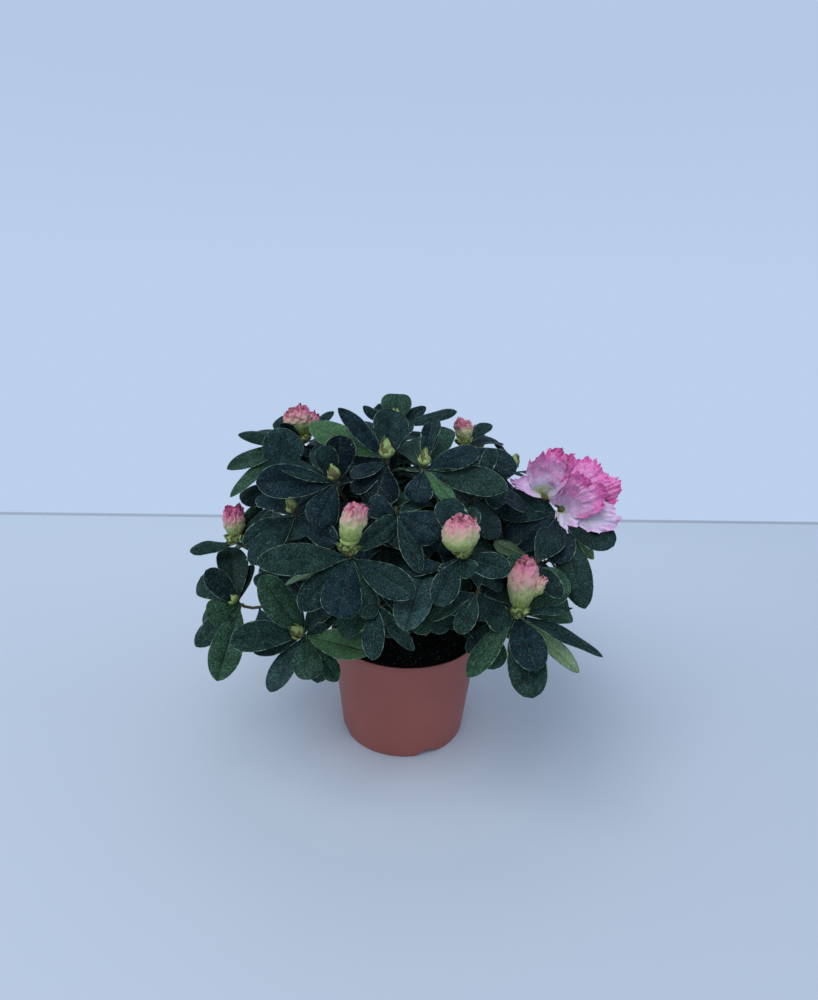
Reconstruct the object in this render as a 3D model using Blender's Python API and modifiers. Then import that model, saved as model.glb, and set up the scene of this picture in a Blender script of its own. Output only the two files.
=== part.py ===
"""A pot azalea: a low domed shrub in a plastic nursery pot, in flower bud with one open double bloom.

The pot stands on the ground plane with its axis on Z, and the front of the plant is towards -Y. The crown
is worked out from a table of its main shoots and a golden-angle rule that fills the rest of the dome. Each
shoot is a twig with a whorl of leaves. The shoots are dealt out to foliage masses by bearing, and every
mass grows from one bough of the short main stem. Metres, +Z up.
"""

import math
import random
from collections import namedtuple

import bmesh
import bpy
from mathutils import Vector
from mathutils.bvhtree import BVHTree

MM = 0.001
GAP = 0.3 * MM  # clearance between pieces that rest on each other
UP = Vector((0, 0, 1))
RIGHT = Vector((1, 0, 0))
FULL_TURN = 360
PATH_PULL = 0.4  # share of a limb's length over which it keeps its first and its last direction

# ---- Pot and soil
POT_HEIGHT = 77 * MM
RIM_RADIUS = 52.5 * MM
FOOT_RADIUS = 44 * MM
WALL = 1.2 * MM
LIP_HEIGHT = 4 * MM  # the thicker band round the rim
LIP_STEP = 0.5 * MM
FOOT_ROUND = 2 * MM
FOOT_CORNER = 0.3  # share of the rounding where its middle corner lies
FOOT_RING = 2.5 * MM  # width of the ring that the wall stands on
FLOOR_RISE = 5 * MM  # the pot's floor stands this high inside its foot ring
BOSS_RADIUS = 17 * MM  # the flat middle of the floor comes down to the ground
BOSS_SLOPE = 4 * MM
POT_STEPS = 36
NOTCH_COUNT = 4
NOTCH_WIDTH = 17 * MM
NOTCH_HEIGHT = 4.5 * MM
NOTCH_BEARING = -66  # degrees
DRAIN_COUNT = 6
DRAIN_RADIUS = 3.5 * MM
DRAIN_CIRCLE = 31 * MM
DRAIN_OFFSET = 0.4  # share of a step that the drain holes are turned by
CUTTER_SIDES = 24
DRAIN_SIDES = 10
SOIL_DROP = 3.5 * MM  # from the rim down to the soil's edge
SOIL_CROWN = 2 * MM  # how far the soil rises towards the stem
SOIL_FLAT = 14 * MM  # level patch that the stem stands on
SOIL_SLOPE = (0.55, 0.4)  # shares of the way out and of the fall where the slope eases
SOIL_TOP = POT_HEIGHT - SOIL_DROP + SOIL_CROWN

# ---- Stem and boughs
STEM_HEIGHT = 30 * MM
STEM_FLARE = ((0, 8.5), (0.08, 6.9), (0.25, 5.7), (0.6, 5.1), (1, 4.7))  # share of height, radius in mm
STEM_LEAN = Vector((2.0, 1.5, 0)) * MM  # how far the stem's top is off the pot's axis
STEM_BEND = 1.5  # power by which the lean builds up with height
STEM_BEVEL = 3
BOUGH_RADII = (2.3 * MM, 1.5 * MM)
BOUGH_POINTS = 6
BOUGH_BEVEL = 1
BOUGH_START_DEG = 20  # rise of a bough where it leaves the stem
CAP_CLEAR = 0.5  # share of its radius that a bough's leaning end is held off the stem
HUB_SHARE = 0.42  # how far out from the fork towards the dome a bough ends

# ---- Foliage masses: name, bearing and rise in degrees seen from the fork, height share of the bough's root
Mass = namedtuple("Mass", "name bearing rise root")
MASSES = tuple(Mass(*row) for row in (
    ("front", -92, 22, 0.28),
    ("front_right", -42, 14, 0.50),
    ("right", 10, 20, 0.28),
    ("back_right", 62, 14, 0.50),
    ("back_left", 118, 18, 0.28),
    ("left", 172, 14, 0.56),
    ("front_left", -142, 16, 0.36),
    ("upper_front", -70, 58, 0.84),
    ("upper_right", 20, 52, 0.80),
    ("upper_back", 100, 54, 0.84),
    ("upper_left", -170, 54, 0.80),
    ("top", -120, 88, 1.0),
))

# ---- Crown
CROWN_CENTRE = Vector((0, 5, 128)) * MM
CROWN_SEMI = Vector((106, 100, 88)) * MM  # the dome that the shoot tips reach
HEART = Vector((0, 0, 70)) * MM  # shoots grow away from here
SHOOT_RISE = 0.7  # how strongly shoots turn up to the light
FILL_COUNT = 100
FILL_TOP_DEG = 72
FILL_LOW_DEG = -16
FILL_DEPTHS = (0.9, 1.0)  # how far out to the dome a filler shoot reaches
FILL_SCALES = (0.85, 1.08)
FILL_CLEAR = 31.5 * MM  # no filler shoot within this of another shoot
FILL_BEHIND = -42 * MM  # the main shoots alone make up the crown in front of this
GOLDEN = math.radians(137.508)
TWIG_RADII = (1.8 * MM, 1.2 * MM)
TWIG_POINTS = 4
TWIG_SIDES = 3
STEMLET = 6 * MM  # straight start of a mass's stem, beyond its bough
STEMLET_RADII = (1.5 * MM, 1.9 * MM)
LIMB_SIDES = 10  # sides of the limbs that leaves are kept clear of

# ---- Leaves: an older leaf sits further back on the twig, droops more and is longer
LEAF_WIDTH = 0.56  # of its length
LEAF_CREST = 0.8 * MM  # thickness at the midrib where the leaf is widest
LEAF_SECTIONS = ((0.0, 0.035), (0.38, 0.76), (0.76, 1.0))  # share of length, share of half width
LEAF_LIFTS = (-24, 38)  # degrees above square to the shoot, oldest and youngest
LEAF_BACKS = (9 * MM, 2 * MM)  # distance of the root behind the tip, oldest and youngest
LEAF_BENDS = (20, 44)  # degrees that a leaf curves down over its length
LEAF_STRAY = 5  # degrees by which a leaf's lift varies
FILL_LEAVES = 7
FILL_LENGTHS = (42 * MM, 28 * MM)
PROBE_CREST = 1.9 * MM  # thickness of the leaf that tests whether there is room
TRIES = ((0, 0, 1), (10, 4, 1), (-10, 4, 1), (0, 14, 0.95), (20, 8, 0.95), (-20, 8, 0.9), (30, 14, 0.85),
         (-30, 14, 0.8), (0, 24, 0.75), (15, -10, 0.7))  # turn, lift in degrees, share of length

# ---- Buds and bloom
BUD_SIZES = {"pink": (26 * MM, 8.6 * MM), "small": (9 * MM, 3 * MM)}  # length, radius
BUD_STEPS = {"pink": (7, 5), "small": (5, 4)}  # faces round a bud and along it
BUD_TAPER = 0.18
BUD_SEAT = 0.42  # share of a bud's length from the shoot's tip to its middle
FILL_BUDS = ("small", "small", "", "pink", "small", "", "small")  # what filler shoots bear, by turns
BLOOM_AXIS = Vector((0.40, -0.45, 0.80)).normalized()
BLOOM_LENGTH = 40 * MM
BLOOM_LEANS = (58, 64, 61, 67, 60, 65)  # degrees of each outer petal from the bloom's axis
BLOOM_DOME = (26 * MM, 17 * MM)  # radius and half height of the bloom's full middle
BLOOM_FRILL = 0.10  # how deep the middle is ruffled, of its radius
BLOOM_RUFFLES = 5
BLOOM_STEPS = (15, 6)
PETAL_WIDTH = 0.98  # of its length
PETAL_SECTIONS = ((0.0, 0.16), (0.4, 0.7), (0.8, 1.0))
PETAL_CREST = 1.1 * MM
PETAL_BEND = 34  # degrees
PETAL_SINK = 1.0 * MM  # how far behind the shoot's tip a petal's root lies

SEED = 5127

# Main shoots: tip in mm, what it bears, its size, then (turn in degrees, length in mm) of each leaf, oldest
# first. A turn is taken facing the shoot: 0 right, 90 up, 180 left and -90 down.
MAIN_SHOOTS = (
    ((-33, -79, 168), "pink", 0.95,
     ((-80, 34), (140, 26), (-35, 38), (-130, 42), (-90, 44), (-155, 50), (15, 34))),
    ((30, -78, 170), "pink", 0.80,
     ((-130, 46), (-90, 38), (20, 34), (-115, 36), (175, 40), (110, 32))),
    ((65, -75, 133), "pink", 0.90,
     ((175, 40), (-115, 44), (-50, 38), (-75, 50), (-145, 34), (-32, 52), (15, 38), (50, 40), (85, 36))),
    ((-61, -76, 114), "small", 1.00,
     ((-15, 40), (-65, 34), (-95, 30), (-125, 40), (100, 28), (-170, 44), (125, 42))),
    ((-110, -36, 112), "small", 1.10,
     ((0, 34), (-60, 36), (-135, 48), (-175, 48), (160, 42), (105, 46), (130, 44))),
    ((-114, -14, 146), "pink", 0.95,
     ((-60, 28), (-140, 36), (110, 34), (60, 34), (170, 42), (100, 38))),
    ((-69, -45, 179), "small", 0.90,
     ((-60, 30), (-120, 24), (10, 28), (165, 30), (135, 34), (80, 28))),
    ((-45, -38, 198), "small", 1.00,
     ((-70, 28), (-120, 36), (-160, 36), (20, 32), (170, 50), (90, 44), (115, 30))),
    ((-74, 16, 207), "pink", 1.00,
     ((-100, 34), (-30, 34), (-150, 40), (60, 36), (165, 44), (120, 36))),
    ((-94, 0, 184), "", 0.90,
     ((-120, 34), (-60, 32), (-165, 42), (160, 42), (90, 32))),
    ((-15, -29, 210), "small", 1.10,
     ((-110, 42), (-40, 28), (150, 34), (175, 40), (100, 38), (55, 32))),
    ((8, -35, 208), "small", 0.90,
     ((-100, 34), (165, 30), (-45, 30), (105, 42), (80, 46), (45, 38))),
    ((45, -35, 198), "", 1.00,
     ((-150, 36), (-80, 30), (10, 34), (45, 38), (130, 30), (95, 30))),
    ((35, 13, 211), "pink", 0.75,
     ((-90, 32), (0, 34), (180, 34), (60, 40), (135, 38), (100, 36))),
    ((98, -14, 175), "bloom", 1.00,
     ((-150, 42), (-55, 50), (-100, 46), (-15, 44), (160, 40), (-125, 44), (-75, 40))),
    ((40, -83, 150), "", 0.90,
     ((170, 34), (25, 28), (-110, 30), (-60, 30), (140, 26))),
    ((78, -55, 157), "", 0.90,
     ((110, 36), (-10, 36), (-115, 28), (65, 34), (-50, 34))),
    ((-17, -92, 146), "", 0.90,
     ((-100, 34), (-50, 28), (-140, 34), (-10, 34))),
    ((-11, 10, 222), "small", 0.90,
     ((-150, 34), (-60, 32), (20, 36), (160, 40), (65, 38), (105, 38))),
    ((-8, -52, 186), "", 0.90,
     ((-20, 30), (-105, 34), (60, 28), (-145, 36), (-60, 42))),
    ((-81, -52, 149), "", 1.00,
     ((-120, 38), (-60, 34), (170, 42), (110, 34), (-160, 40))),
    ((12, -60, 158), "", 0.95,
     ((-80, 36), (0, 32), (-125, 36), (-40, 36), (85, 34), (150, 32))),
)

Shoot = namedtuple("Shoot", "mass tip axis bears scale leaves")
Blade = namedtuple("Blade", "root along face length width bend")
Piece = namedtuple("Piece", "mass shoot tree outer_tree centre reach")


# ---------------------------------------------------------------- scene, materials and small helpers
def clear_scene():
    """Removes whatever the scene holds."""
    for obj in list(bpy.context.scene.objects):
        bpy.data.objects.remove(obj)


def new_collection(name):
    """Makes a collection in the scene."""
    collection = bpy.data.collections.new(name)
    bpy.context.scene.collection.children.link(collection)
    return collection


def new_material(name, colour, roughness):
    """Makes a plain Principled material."""
    material = bpy.data.materials.new(name)
    material.use_nodes = True
    shader = material.node_tree.nodes["Principled BSDF"]
    shader.inputs["Base Color"].default_value = (*colour, 1)
    shader.inputs["Roughness"].default_value = roughness
    return material


def new_object(name, data, material, collection):
    """Makes an object from mesh or curve data in a collection."""
    obj = bpy.data.objects.new(name, data)
    data.materials.append(material)
    collection.objects.link(obj)
    return obj


def mesh_object(name, mesh, material, collection):
    """Makes an object from a bmesh, and frees it."""
    data = bpy.data.meshes.new(name)
    mesh.to_mesh(data)
    mesh.free()
    return new_object(name, data, material, collection)


def mix(ends, share):
    """The value at a share of the way between two ends."""
    return ends[0] + (ends[1] - ends[0]) * share


def heading(bearing_deg, rise_deg):
    """The unit direction of a bearing in the ground plane and a rise above it."""
    bearing, rise = math.radians(bearing_deg), math.radians(rise_deg)
    return Vector((math.cos(rise) * math.cos(bearing), math.cos(rise) * math.sin(bearing), math.sin(rise)))


def bent_path(start, start_way, end, end_way, count):
    """Points on a smooth curve that leaves the start one way and reaches the end another."""
    reach = (end - start).length * PATH_PULL
    corners = (start, start + start_way * reach, end - end_way * reach, end)
    points = []
    for i in range(count):
        share = i / (count - 1)
        row = corners
        while len(row) > 1:
            row = [near.lerp(far, share) for near, far in zip(row, row[1:])]
        points.append(row[0])
    return points


def limb_curve(name, points, radii, bevel, material, collection):
    """Makes a tapering limb as a curve with a round section and filled caps."""
    curve = bpy.data.curves.new(name, "CURVE")
    curve.dimensions = "3D"
    curve.bevel_depth = 1
    curve.bevel_resolution = bevel
    curve.use_fill_caps = True
    spline = curve.splines.new("POLY")
    spline.points.add(len(points) - 1)
    for spot, point, radius in zip(spline.points, points, radii):
        spot.co = (*point, 1)
        spot.radius = radius
    return new_object(name, curve, material, collection)


def tube_mesh(points, radii, sides):
    """Lofts a tapering tube with flat sides along the points, closed at both ends."""
    mesh = bmesh.new()
    rings = []
    side = (points[1] - points[0]).orthogonal()
    for i, (point, radius) in enumerate(zip(points, radii)):
        ahead = (points[min(i + 1, len(points) - 1)] - points[max(i - 1, 0)]).normalized()
        side = (side - ahead * side.dot(ahead)).normalized()
        across = ahead.cross(side)
        ring = []
        for k in range(sides):
            turn = k * math.tau / sides
            ring.append(mesh.verts.new(point + (side * math.cos(turn) + across * math.sin(turn)) * radius))
        rings.append(ring)
    for low, high in zip(rings, rings[1:]):
        for k in range(sides):
            mesh.faces.new((low[k - 1], low[k], high[k], high[k - 1]))
    mesh.faces.new(rings[0])
    mesh.faces.new(rings[-1])
    bmesh.ops.triangulate(mesh, faces=mesh.faces)
    bmesh.ops.recalc_face_normals(mesh, faces=mesh.faces)
    return mesh


# ---------------------------------------------------------------- pot and soil
def wall_radius(height):
    """The pot's outer radius at a height, below the lip."""
    return mix((FOOT_RADIUS, RIM_RADIUS - LIP_STEP), height / (POT_HEIGHT - LIP_HEIGHT))


def turned(name, profile, material, collection):
    """Makes a turned solid from a profile of radius and height that starts and ends on the axis."""
    mesh = bmesh.new()
    spots = [mesh.verts.new((radius, 0, height)) for radius, height in profile]
    for near, far in zip(spots, spots[1:]):
        mesh.edges.new((near, far))
    obj = mesh_object(name, mesh, material, collection)
    screw = obj.modifiers.new("turn", "SCREW")
    screw.steps = screw.render_steps = POT_STEPS
    screw.use_merge_vertices = True
    screw.merge_threshold = 0.01 * MM
    screw.use_smooth_shade = False
    return obj


def pot_profile():
    """The pot's section: inner floor and wall up to the rim, then down the outside and in to the axis."""
    inner_foot = wall_radius(FLOOR_RISE) - WALL
    lip_base = POT_HEIGHT - LIP_HEIGHT
    return (
        (0, WALL), (BOSS_RADIUS - WALL / 2, WALL),
        (BOSS_RADIUS + BOSS_SLOPE - WALL / 2, FLOOR_RISE + WALL), (inner_foot, FLOOR_RISE + WALL),
        (RIM_RADIUS - LIP_STEP - WALL, lip_base), (RIM_RADIUS - WALL, POT_HEIGHT),
        (RIM_RADIUS, POT_HEIGHT - LIP_STEP), (RIM_RADIUS, lip_base),
        (RIM_RADIUS - LIP_STEP, lip_base - LIP_STEP), (wall_radius(FOOT_ROUND), FOOT_ROUND),
        (wall_radius(0) - FOOT_ROUND * FOOT_CORNER, FOOT_ROUND * FOOT_CORNER), (FOOT_RADIUS - FOOT_ROUND, 0),
        (FOOT_RADIUS - FOOT_ROUND - FOOT_RING, 0), (FOOT_RADIUS - FOOT_ROUND - FOOT_RING, FLOOR_RISE),
        (BOSS_RADIUS + BOSS_SLOPE, FLOOR_RISE), (BOSS_RADIUS, 0), (0, 0),
    )


def add_cutter(name, target, radius, depth, sides, collection):
    """Makes a drum that is cut out of the target."""
    mesh = bmesh.new()
    bmesh.ops.create_cone(mesh, cap_ends=True, segments=sides, radius1=radius, radius2=radius, depth=depth)
    data = bpy.data.meshes.new(name)
    mesh.to_mesh(data)
    mesh.free()
    cutter = bpy.data.objects.new(name, data)
    cutter.hide_render = True
    cutter.display_type = "WIRE"
    collection.objects.link(cutter)
    cut = target.modifiers.new(name, "BOOLEAN")
    cut.operation = "DIFFERENCE"
    cut.object = cutter
    return cutter


def make_pot(material, collection, cutters):
    """The nursery pot, with arched notches in its foot ring and drain holes in its raised floor."""
    pot = turned("pot", pot_profile(), material, collection)
    notch_radius = NOTCH_WIDTH ** 2 / (8 * NOTCH_HEIGHT) + NOTCH_HEIGHT / 2
    for i in range(NOTCH_COUNT):
        bearing = NOTCH_BEARING + i * FULL_TURN / NOTCH_COUNT
        notch = add_cutter(f"notch_{i + 1}", pot, notch_radius, 4 * FOOT_RING, CUTTER_SIDES, cutters)
        notch.rotation_euler = (0, math.pi / 2, math.radians(bearing))
        middle = heading(bearing, 0) * (FOOT_RADIUS - FOOT_RING / 2)
        notch.location = middle + UP * (NOTCH_HEIGHT - notch_radius)
    for i in range(DRAIN_COUNT):
        drain = add_cutter(f"drain_{i + 1}", pot, DRAIN_RADIUS, 4 * WALL, DRAIN_SIDES, cutters)
        middle = heading((i + DRAIN_OFFSET) * FULL_TURN / DRAIN_COUNT, 0) * DRAIN_CIRCLE
        drain.location = middle + UP * (FLOOR_RISE + WALL / 2)
    return pot


def make_soil(material, collection):
    """The peat that fills the pot, a little higher at the stem than at its edge."""
    floor = FLOOR_RISE + WALL + GAP
    low = wall_radius(floor) - WALL - 2 * GAP
    edge_height = POT_HEIGHT - SOIL_DROP
    edge = RIM_RADIUS - LIP_STEP - WALL - 2 * GAP
    profile = (
        (0, SOIL_TOP), (SOIL_FLAT, SOIL_TOP),
        (mix((SOIL_FLAT, edge), SOIL_SLOPE[0]), SOIL_TOP - SOIL_CROWN * SOIL_SLOPE[1]),
        (edge, edge_height), (edge - LIP_STEP, edge_height - LIP_HEIGHT), (low, floor),
        (BOSS_RADIUS + BOSS_SLOPE - WALL, floor), (BOSS_RADIUS - WALL, WALL + GAP), (0, WALL + GAP),
    )
    return turned("soil", profile, material, collection)


# ---------------------------------------------------------------- stem and boughs
def stem_point(share):
    """A point on the stem's axis, which leans and bends a little, by its share of the height."""
    base = UP * (SOIL_TOP + GAP)
    return base + UP * STEM_HEIGHT * share + STEM_LEAN * share ** STEM_BEND


def stem_radius(share):
    """The stem's radius at a share of its height."""
    for (low, wide), (high, narrow) in zip(STEM_FLARE, STEM_FLARE[1:]):
        if share <= high:
            return mix((wide, narrow), (share - low) / (high - low)) * MM
    return STEM_FLARE[-1][1] * MM


def dome_point(way):
    """Where a direction from the crown's centre meets the dome."""
    stretched = Vector(w / s for w, s in zip(way, CROWN_SEMI))
    return CROWN_CENTRE + way / stretched.length


def hub_of(mass):
    """The point where a mass's bough ends."""
    return stem_point(1).lerp(dome_point(heading(mass.bearing, mass.rise)), HUB_SHARE)


def hub_way(mass):
    """The way a mass's bough points where it ends."""
    return (hub_of(mass) - stem_point(0.5)).normalized()


def bough_path(mass):
    """The points of a bough, from just clear of the stem to its hub."""
    if mass.root == 1:
        start = stem_point(1) + UP * GAP
        start_way = UP
    else:
        start_way = heading(mass.bearing, BOUGH_START_DEG)
        reach = stem_radius(mass.root) + GAP + BOUGH_RADII[0] * CAP_CLEAR
        start = stem_point(mass.root) + heading(mass.bearing, 0) * reach
    return bent_path(start, start_way, hub_of(mass), hub_way(mass), BOUGH_POINTS)


def make_limbs(material, collection):
    """The main stem with its root flare and flat foot, and one bough for each mass."""
    shares = [share for share, radius in STEM_FLARE]
    radii = [radius * MM for share, radius in STEM_FLARE]
    limbs = [limb_curve("main_stem", [stem_point(share) for share in shares], radii, STEM_BEVEL,
                        material, collection)]
    for mass in MASSES:
        path = bough_path(mass)
        radii = [mix(BOUGH_RADII, i / (BOUGH_POINTS - 1)) for i in range(BOUGH_POINTS)]
        limbs.append(limb_curve(f"bough_{mass.name}", path, radii, BOUGH_BEVEL, material, collection))
    return limbs


# ---------------------------------------------------------------- shoots
def nearest_mass(tip):
    """The mass whose direction from the fork is closest to a shoot's."""
    fork = stem_point(1)
    way = (tip - fork).normalized()
    return max(MASSES, key=lambda mass: (hub_of(mass) - fork).normalized().dot(way)).name


def shoot_axis(tip):
    """The way a shoot points: away from the heart of the crown and up."""
    return ((tip - HEART).normalized() + UP * SHOOT_RISE).normalized()


def grow_shoots(dice):
    """Lists the main shoots and the filler shoots that make up the rest of the dome."""
    shoots = []
    for tip, bears, scale, leaves in MAIN_SHOOTS:
        tip = Vector(tip) * MM
        leaves = [(turn, length * MM) for turn, length in leaves]
        shoots.append(Shoot(nearest_mass(tip), tip, shoot_axis(tip), bears, scale, leaves))
    low, high = math.sin(math.radians(FILL_LOW_DEG)), math.sin(math.radians(FILL_TOP_DEG))
    for i in range(FILL_COUNT):
        rise = math.degrees(math.asin(mix((high, low), i / (FILL_COUNT - 1))))
        depth = dice.uniform(*FILL_DEPTHS)
        tip = CROWN_CENTRE.lerp(dome_point(heading(math.degrees(i * GOLDEN), rise)), depth)
        phase, scale = dice.uniform(0, FULL_TURN), dice.uniform(*FILL_SCALES)
        crowded = min((tip - other.tip).length for other in shoots) < FILL_CLEAR
        if crowded or tip.y < FILL_BEHIND:
            continue
        leaves = [(phase + math.degrees(k * GOLDEN), scale * mix(FILL_LENGTHS, k / (FILL_LEAVES - 1)))
                  for k in range(FILL_LEAVES)]
        bears = FILL_BUDS[len(shoots) % len(FILL_BUDS)]
        shoots.append(Shoot(nearest_mass(tip), tip, shoot_axis(tip), bears, scale, leaves))
    return shoots


def twig_path(shoot, mass):
    """The points of a shoot's twig, from the end of its mass's stem to its tip."""
    start = hub_of(mass) + hub_way(mass) * (STEMLET - TWIG_RADII[0])
    return bent_path(start, hub_way(mass), shoot.tip, shoot.axis, TWIG_POINTS)


def point_behind(path, back):
    """The point of a path that lies a distance back from its end."""
    for near, far in zip(reversed(path), list(reversed(path))[1:]):
        run = (far - near).length
        if back <= run:
            return near.lerp(far, back / run)
        back -= run
    return path[0]


def leaf_blade(shoot, path, age, turn, lift, length):
    """Places a leaf on a shoot's twig by its age (0 oldest, 1 youngest), turn and lift in degrees."""
    across = (RIGHT - shoot.axis * RIGHT.dot(shoot.axis)).normalized()
    above = shoot.axis.cross(across)
    turn, lift = math.radians(turn), math.radians(lift)
    side = across * math.cos(turn) + above * math.sin(turn)
    along = side * math.cos(lift) + shoot.axis * math.sin(lift)
    face = shoot.axis * math.cos(lift) - side * math.sin(lift)
    root = point_behind(path, mix(LEAF_BACKS, age))
    return Blade(root, along, face, length, length * LEAF_WIDTH, math.radians(mix(LEAF_BENDS, 1 - age)))


# ---------------------------------------------------------------- blades, buds and bloom
def blade_sections(blade, sections, crest):
    """The three-cornered sections of a blade, each its left margin, right margin and crest."""
    bow = blade.length / blade.bend
    side = blade.along.cross(blade.face)
    rings = []
    for share, spread in (*sections, (1, 0)):
        turn = blade.bend * share
        middle = (blade.root + blade.along * bow * math.sin(turn)
                  - blade.face * bow * (1 - math.cos(turn)))
        top = blade.face * math.cos(turn) + blade.along * math.sin(turn)
        reach = side * blade.width / 2 * spread
        rings.append((middle - reach, middle + reach, middle + top * crest * (0.5 + spread / 2)))
    return rings


def blade_mesh(blade, sections, crest):
    """Lofts a blade between its sections, closed at its root and drawn to a point at its tip."""
    mesh = bmesh.new()
    sections = blade_sections(blade, sections, crest)
    tip = mesh.verts.new(sections.pop()[0])
    rings = [[mesh.verts.new(spot) for spot in ring] for ring in sections]
    for low, high in zip(rings, rings[1:]):
        for i in range(3):
            mesh.faces.new((low[i], low[i - 1], high[i - 1], high[i]))
    for i in range(3):
        mesh.faces.new((rings[-1][i], rings[-1][i - 1], tip))
    mesh.faces.new(rings[0])
    bmesh.ops.triangulate(mesh, faces=mesh.faces)
    bmesh.ops.recalc_face_normals(mesh, faces=mesh.faces)
    return mesh


def bud_mesh(shoot):
    """The egg of a flower bud on a shoot's tip."""
    length, radius = BUD_SIZES[shoot.bears]
    mesh = bmesh.new()
    around, along = BUD_STEPS[shoot.bears]
    bmesh.ops.create_uvsphere(mesh, u_segments=around, v_segments=along, radius=1)
    turn = shoot.axis.to_track_quat("Z", "Y")
    for vert in mesh.verts:
        wide = radius * shoot.scale * (1 - BUD_TAPER * vert.co.z)
        shape = Vector((vert.co.x * wide, vert.co.y * wide, vert.co.z * length / 2 * shoot.scale))
        vert.co = shoot.tip + shoot.axis * length * shoot.scale * BUD_SEAT + turn @ shape
    return mesh


def bloom_meshes(shoot):
    """The open double bloom: its outer petals, and the ruffled dome of petals that fills its middle."""
    across = (RIGHT - BLOOM_AXIS * RIGHT.dot(BLOOM_AXIS)).normalized()
    above = BLOOM_AXIS.cross(across)
    meshes = []
    for i, lean in enumerate(BLOOM_LEANS):
        lean, turn = math.radians(lean), i * math.tau / len(BLOOM_LEANS)
        side = across * math.cos(turn) + above * math.sin(turn)
        along = BLOOM_AXIS * math.cos(lean) + side * math.sin(lean)
        face = BLOOM_AXIS * math.sin(lean) - side * math.cos(lean)
        petal = Blade(shoot.tip - along * PETAL_SINK, along, face, BLOOM_LENGTH, BLOOM_LENGTH * PETAL_WIDTH,
                      math.radians(PETAL_BEND))
        meshes.append(blade_mesh(petal, PETAL_SECTIONS, PETAL_CREST))
    radius, height = BLOOM_DOME
    dome = bmesh.new()
    bmesh.ops.create_uvsphere(dome, u_segments=BLOOM_STEPS[0], v_segments=BLOOM_STEPS[1], radius=1)
    for vert in dome.verts:
        bearing = math.atan2(vert.co.y, vert.co.x)
        wide = radius * (1 + BLOOM_FRILL * math.cos(BLOOM_RUFFLES * bearing))
        vert.co = (shoot.tip + across * vert.co.x * wide + above * vert.co.y * wide
                   + BLOOM_AXIS * height * (1 + vert.co.z))
    meshes.append(dome)
    return meshes


# ---------------------------------------------------------------- room between pieces
def tree_of(mesh):
    """A search tree of a bmesh's faces."""
    mesh.verts.index_update()
    return BVHTree.FromPolygons([vert.co.copy() for vert in mesh.verts],
                                [[vert.index for vert in face.verts] for face in mesh.faces])


def piece_of(mass, shoot, mesh, outer=None):
    """Records a piece that later ones keep clear of. A leaf's blade beyond its stalk is its outer part."""
    spots = [vert.co.copy() for vert in mesh.verts]
    centre = sum(spots, Vector()) / len(spots)
    reach = max((spot - centre).length for spot in spots)
    tree = tree_of(mesh)
    return Piece(mass, shoot, tree, tree_of(outer) if outer else tree, centre, reach)


def has_room(piece, placed):
    """Tells whether a piece is wholly clear of other masses, and its outer part clear of its own."""
    for other in placed:
        if (other.centre - piece.centre).length > other.reach + piece.reach:
            continue
        if other.mass != piece.mass:
            if piece.tree.overlap(other.tree):
                return False
        elif other.shoot != piece.shoot or other.outer_tree is not other.tree:
            if piece.outer_tree.overlap(other.outer_tree):
                return False
    return True


def place_leaves(shoot, path, number, placed, dice):
    """Lists the leaves of a shoot that find room, each turned, lifted or shortened where it has to be."""
    beyond_stalk = tuple(section for section in LEAF_SECTIONS if section[0] > 0)
    blades = []
    for k, (turn, length) in enumerate(shoot.leaves):
        age = k / (len(shoot.leaves) - 1)
        lift = mix(LEAF_LIFTS, age) + dice.uniform(-LEAF_STRAY, LEAF_STRAY)
        for more_turn, more_lift, share in TRIES:
            blade = leaf_blade(shoot, path, age, turn + more_turn, lift + more_lift, length * share)
            whole = blade_mesh(blade, LEAF_SECTIONS, PROBE_CREST)
            outer = blade_mesh(blade, beyond_stalk, PROBE_CREST)
            piece = piece_of(shoot.mass, number, whole, outer)
            whole.free()
            outer.free()
            if has_room(piece, placed):
                placed.append(piece)
                blades.append(blade)
                break
    return blades


# ---------------------------------------------------------------- foliage masses
def union_all(name, tools, material, collection, scratch):
    """Joins the tools into one closed mesh, and drops loose scraps and sealed hollows."""
    base = tools[0]
    collection.objects.link(base)
    for tool in tools[1:]:
        scratch.objects.link(tool)
    join = base.modifiers.new("join", "BOOLEAN")
    join.operation = "UNION"
    join.operand_type = "COLLECTION"
    join.collection = scratch
    join.solver = "MANIFOLD"
    shape = base.evaluated_get(bpy.context.evaluated_depsgraph_get())
    data = bpy.data.meshes.new_from_object(shape)
    for tool in tools:
        bpy.data.objects.remove(tool)
    mesh = bmesh.new()
    mesh.from_mesh(data)
    drop_scraps(mesh)
    mesh.to_mesh(data)
    mesh.free()
    data.name = name
    data.materials.clear()
    return new_object(name, data, material, collection)


def drop_scraps(mesh):
    """Keeps the largest of a mesh's connected shells."""
    left, shells = set(mesh.verts), []
    while left:
        shell, front = set(), [left.pop()]
        while front:
            vert = front.pop()
            shell.add(vert)
            for edge in vert.link_edges:
                other = edge.other_vert(vert)
                if other in left:
                    left.remove(other)
                    front.append(other)
        shells.append(shell)
    shells.sort(key=len)
    for shell in shells[:-1]:
        bmesh.ops.delete(mesh, geom=list(shell), context="VERTS")


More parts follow.
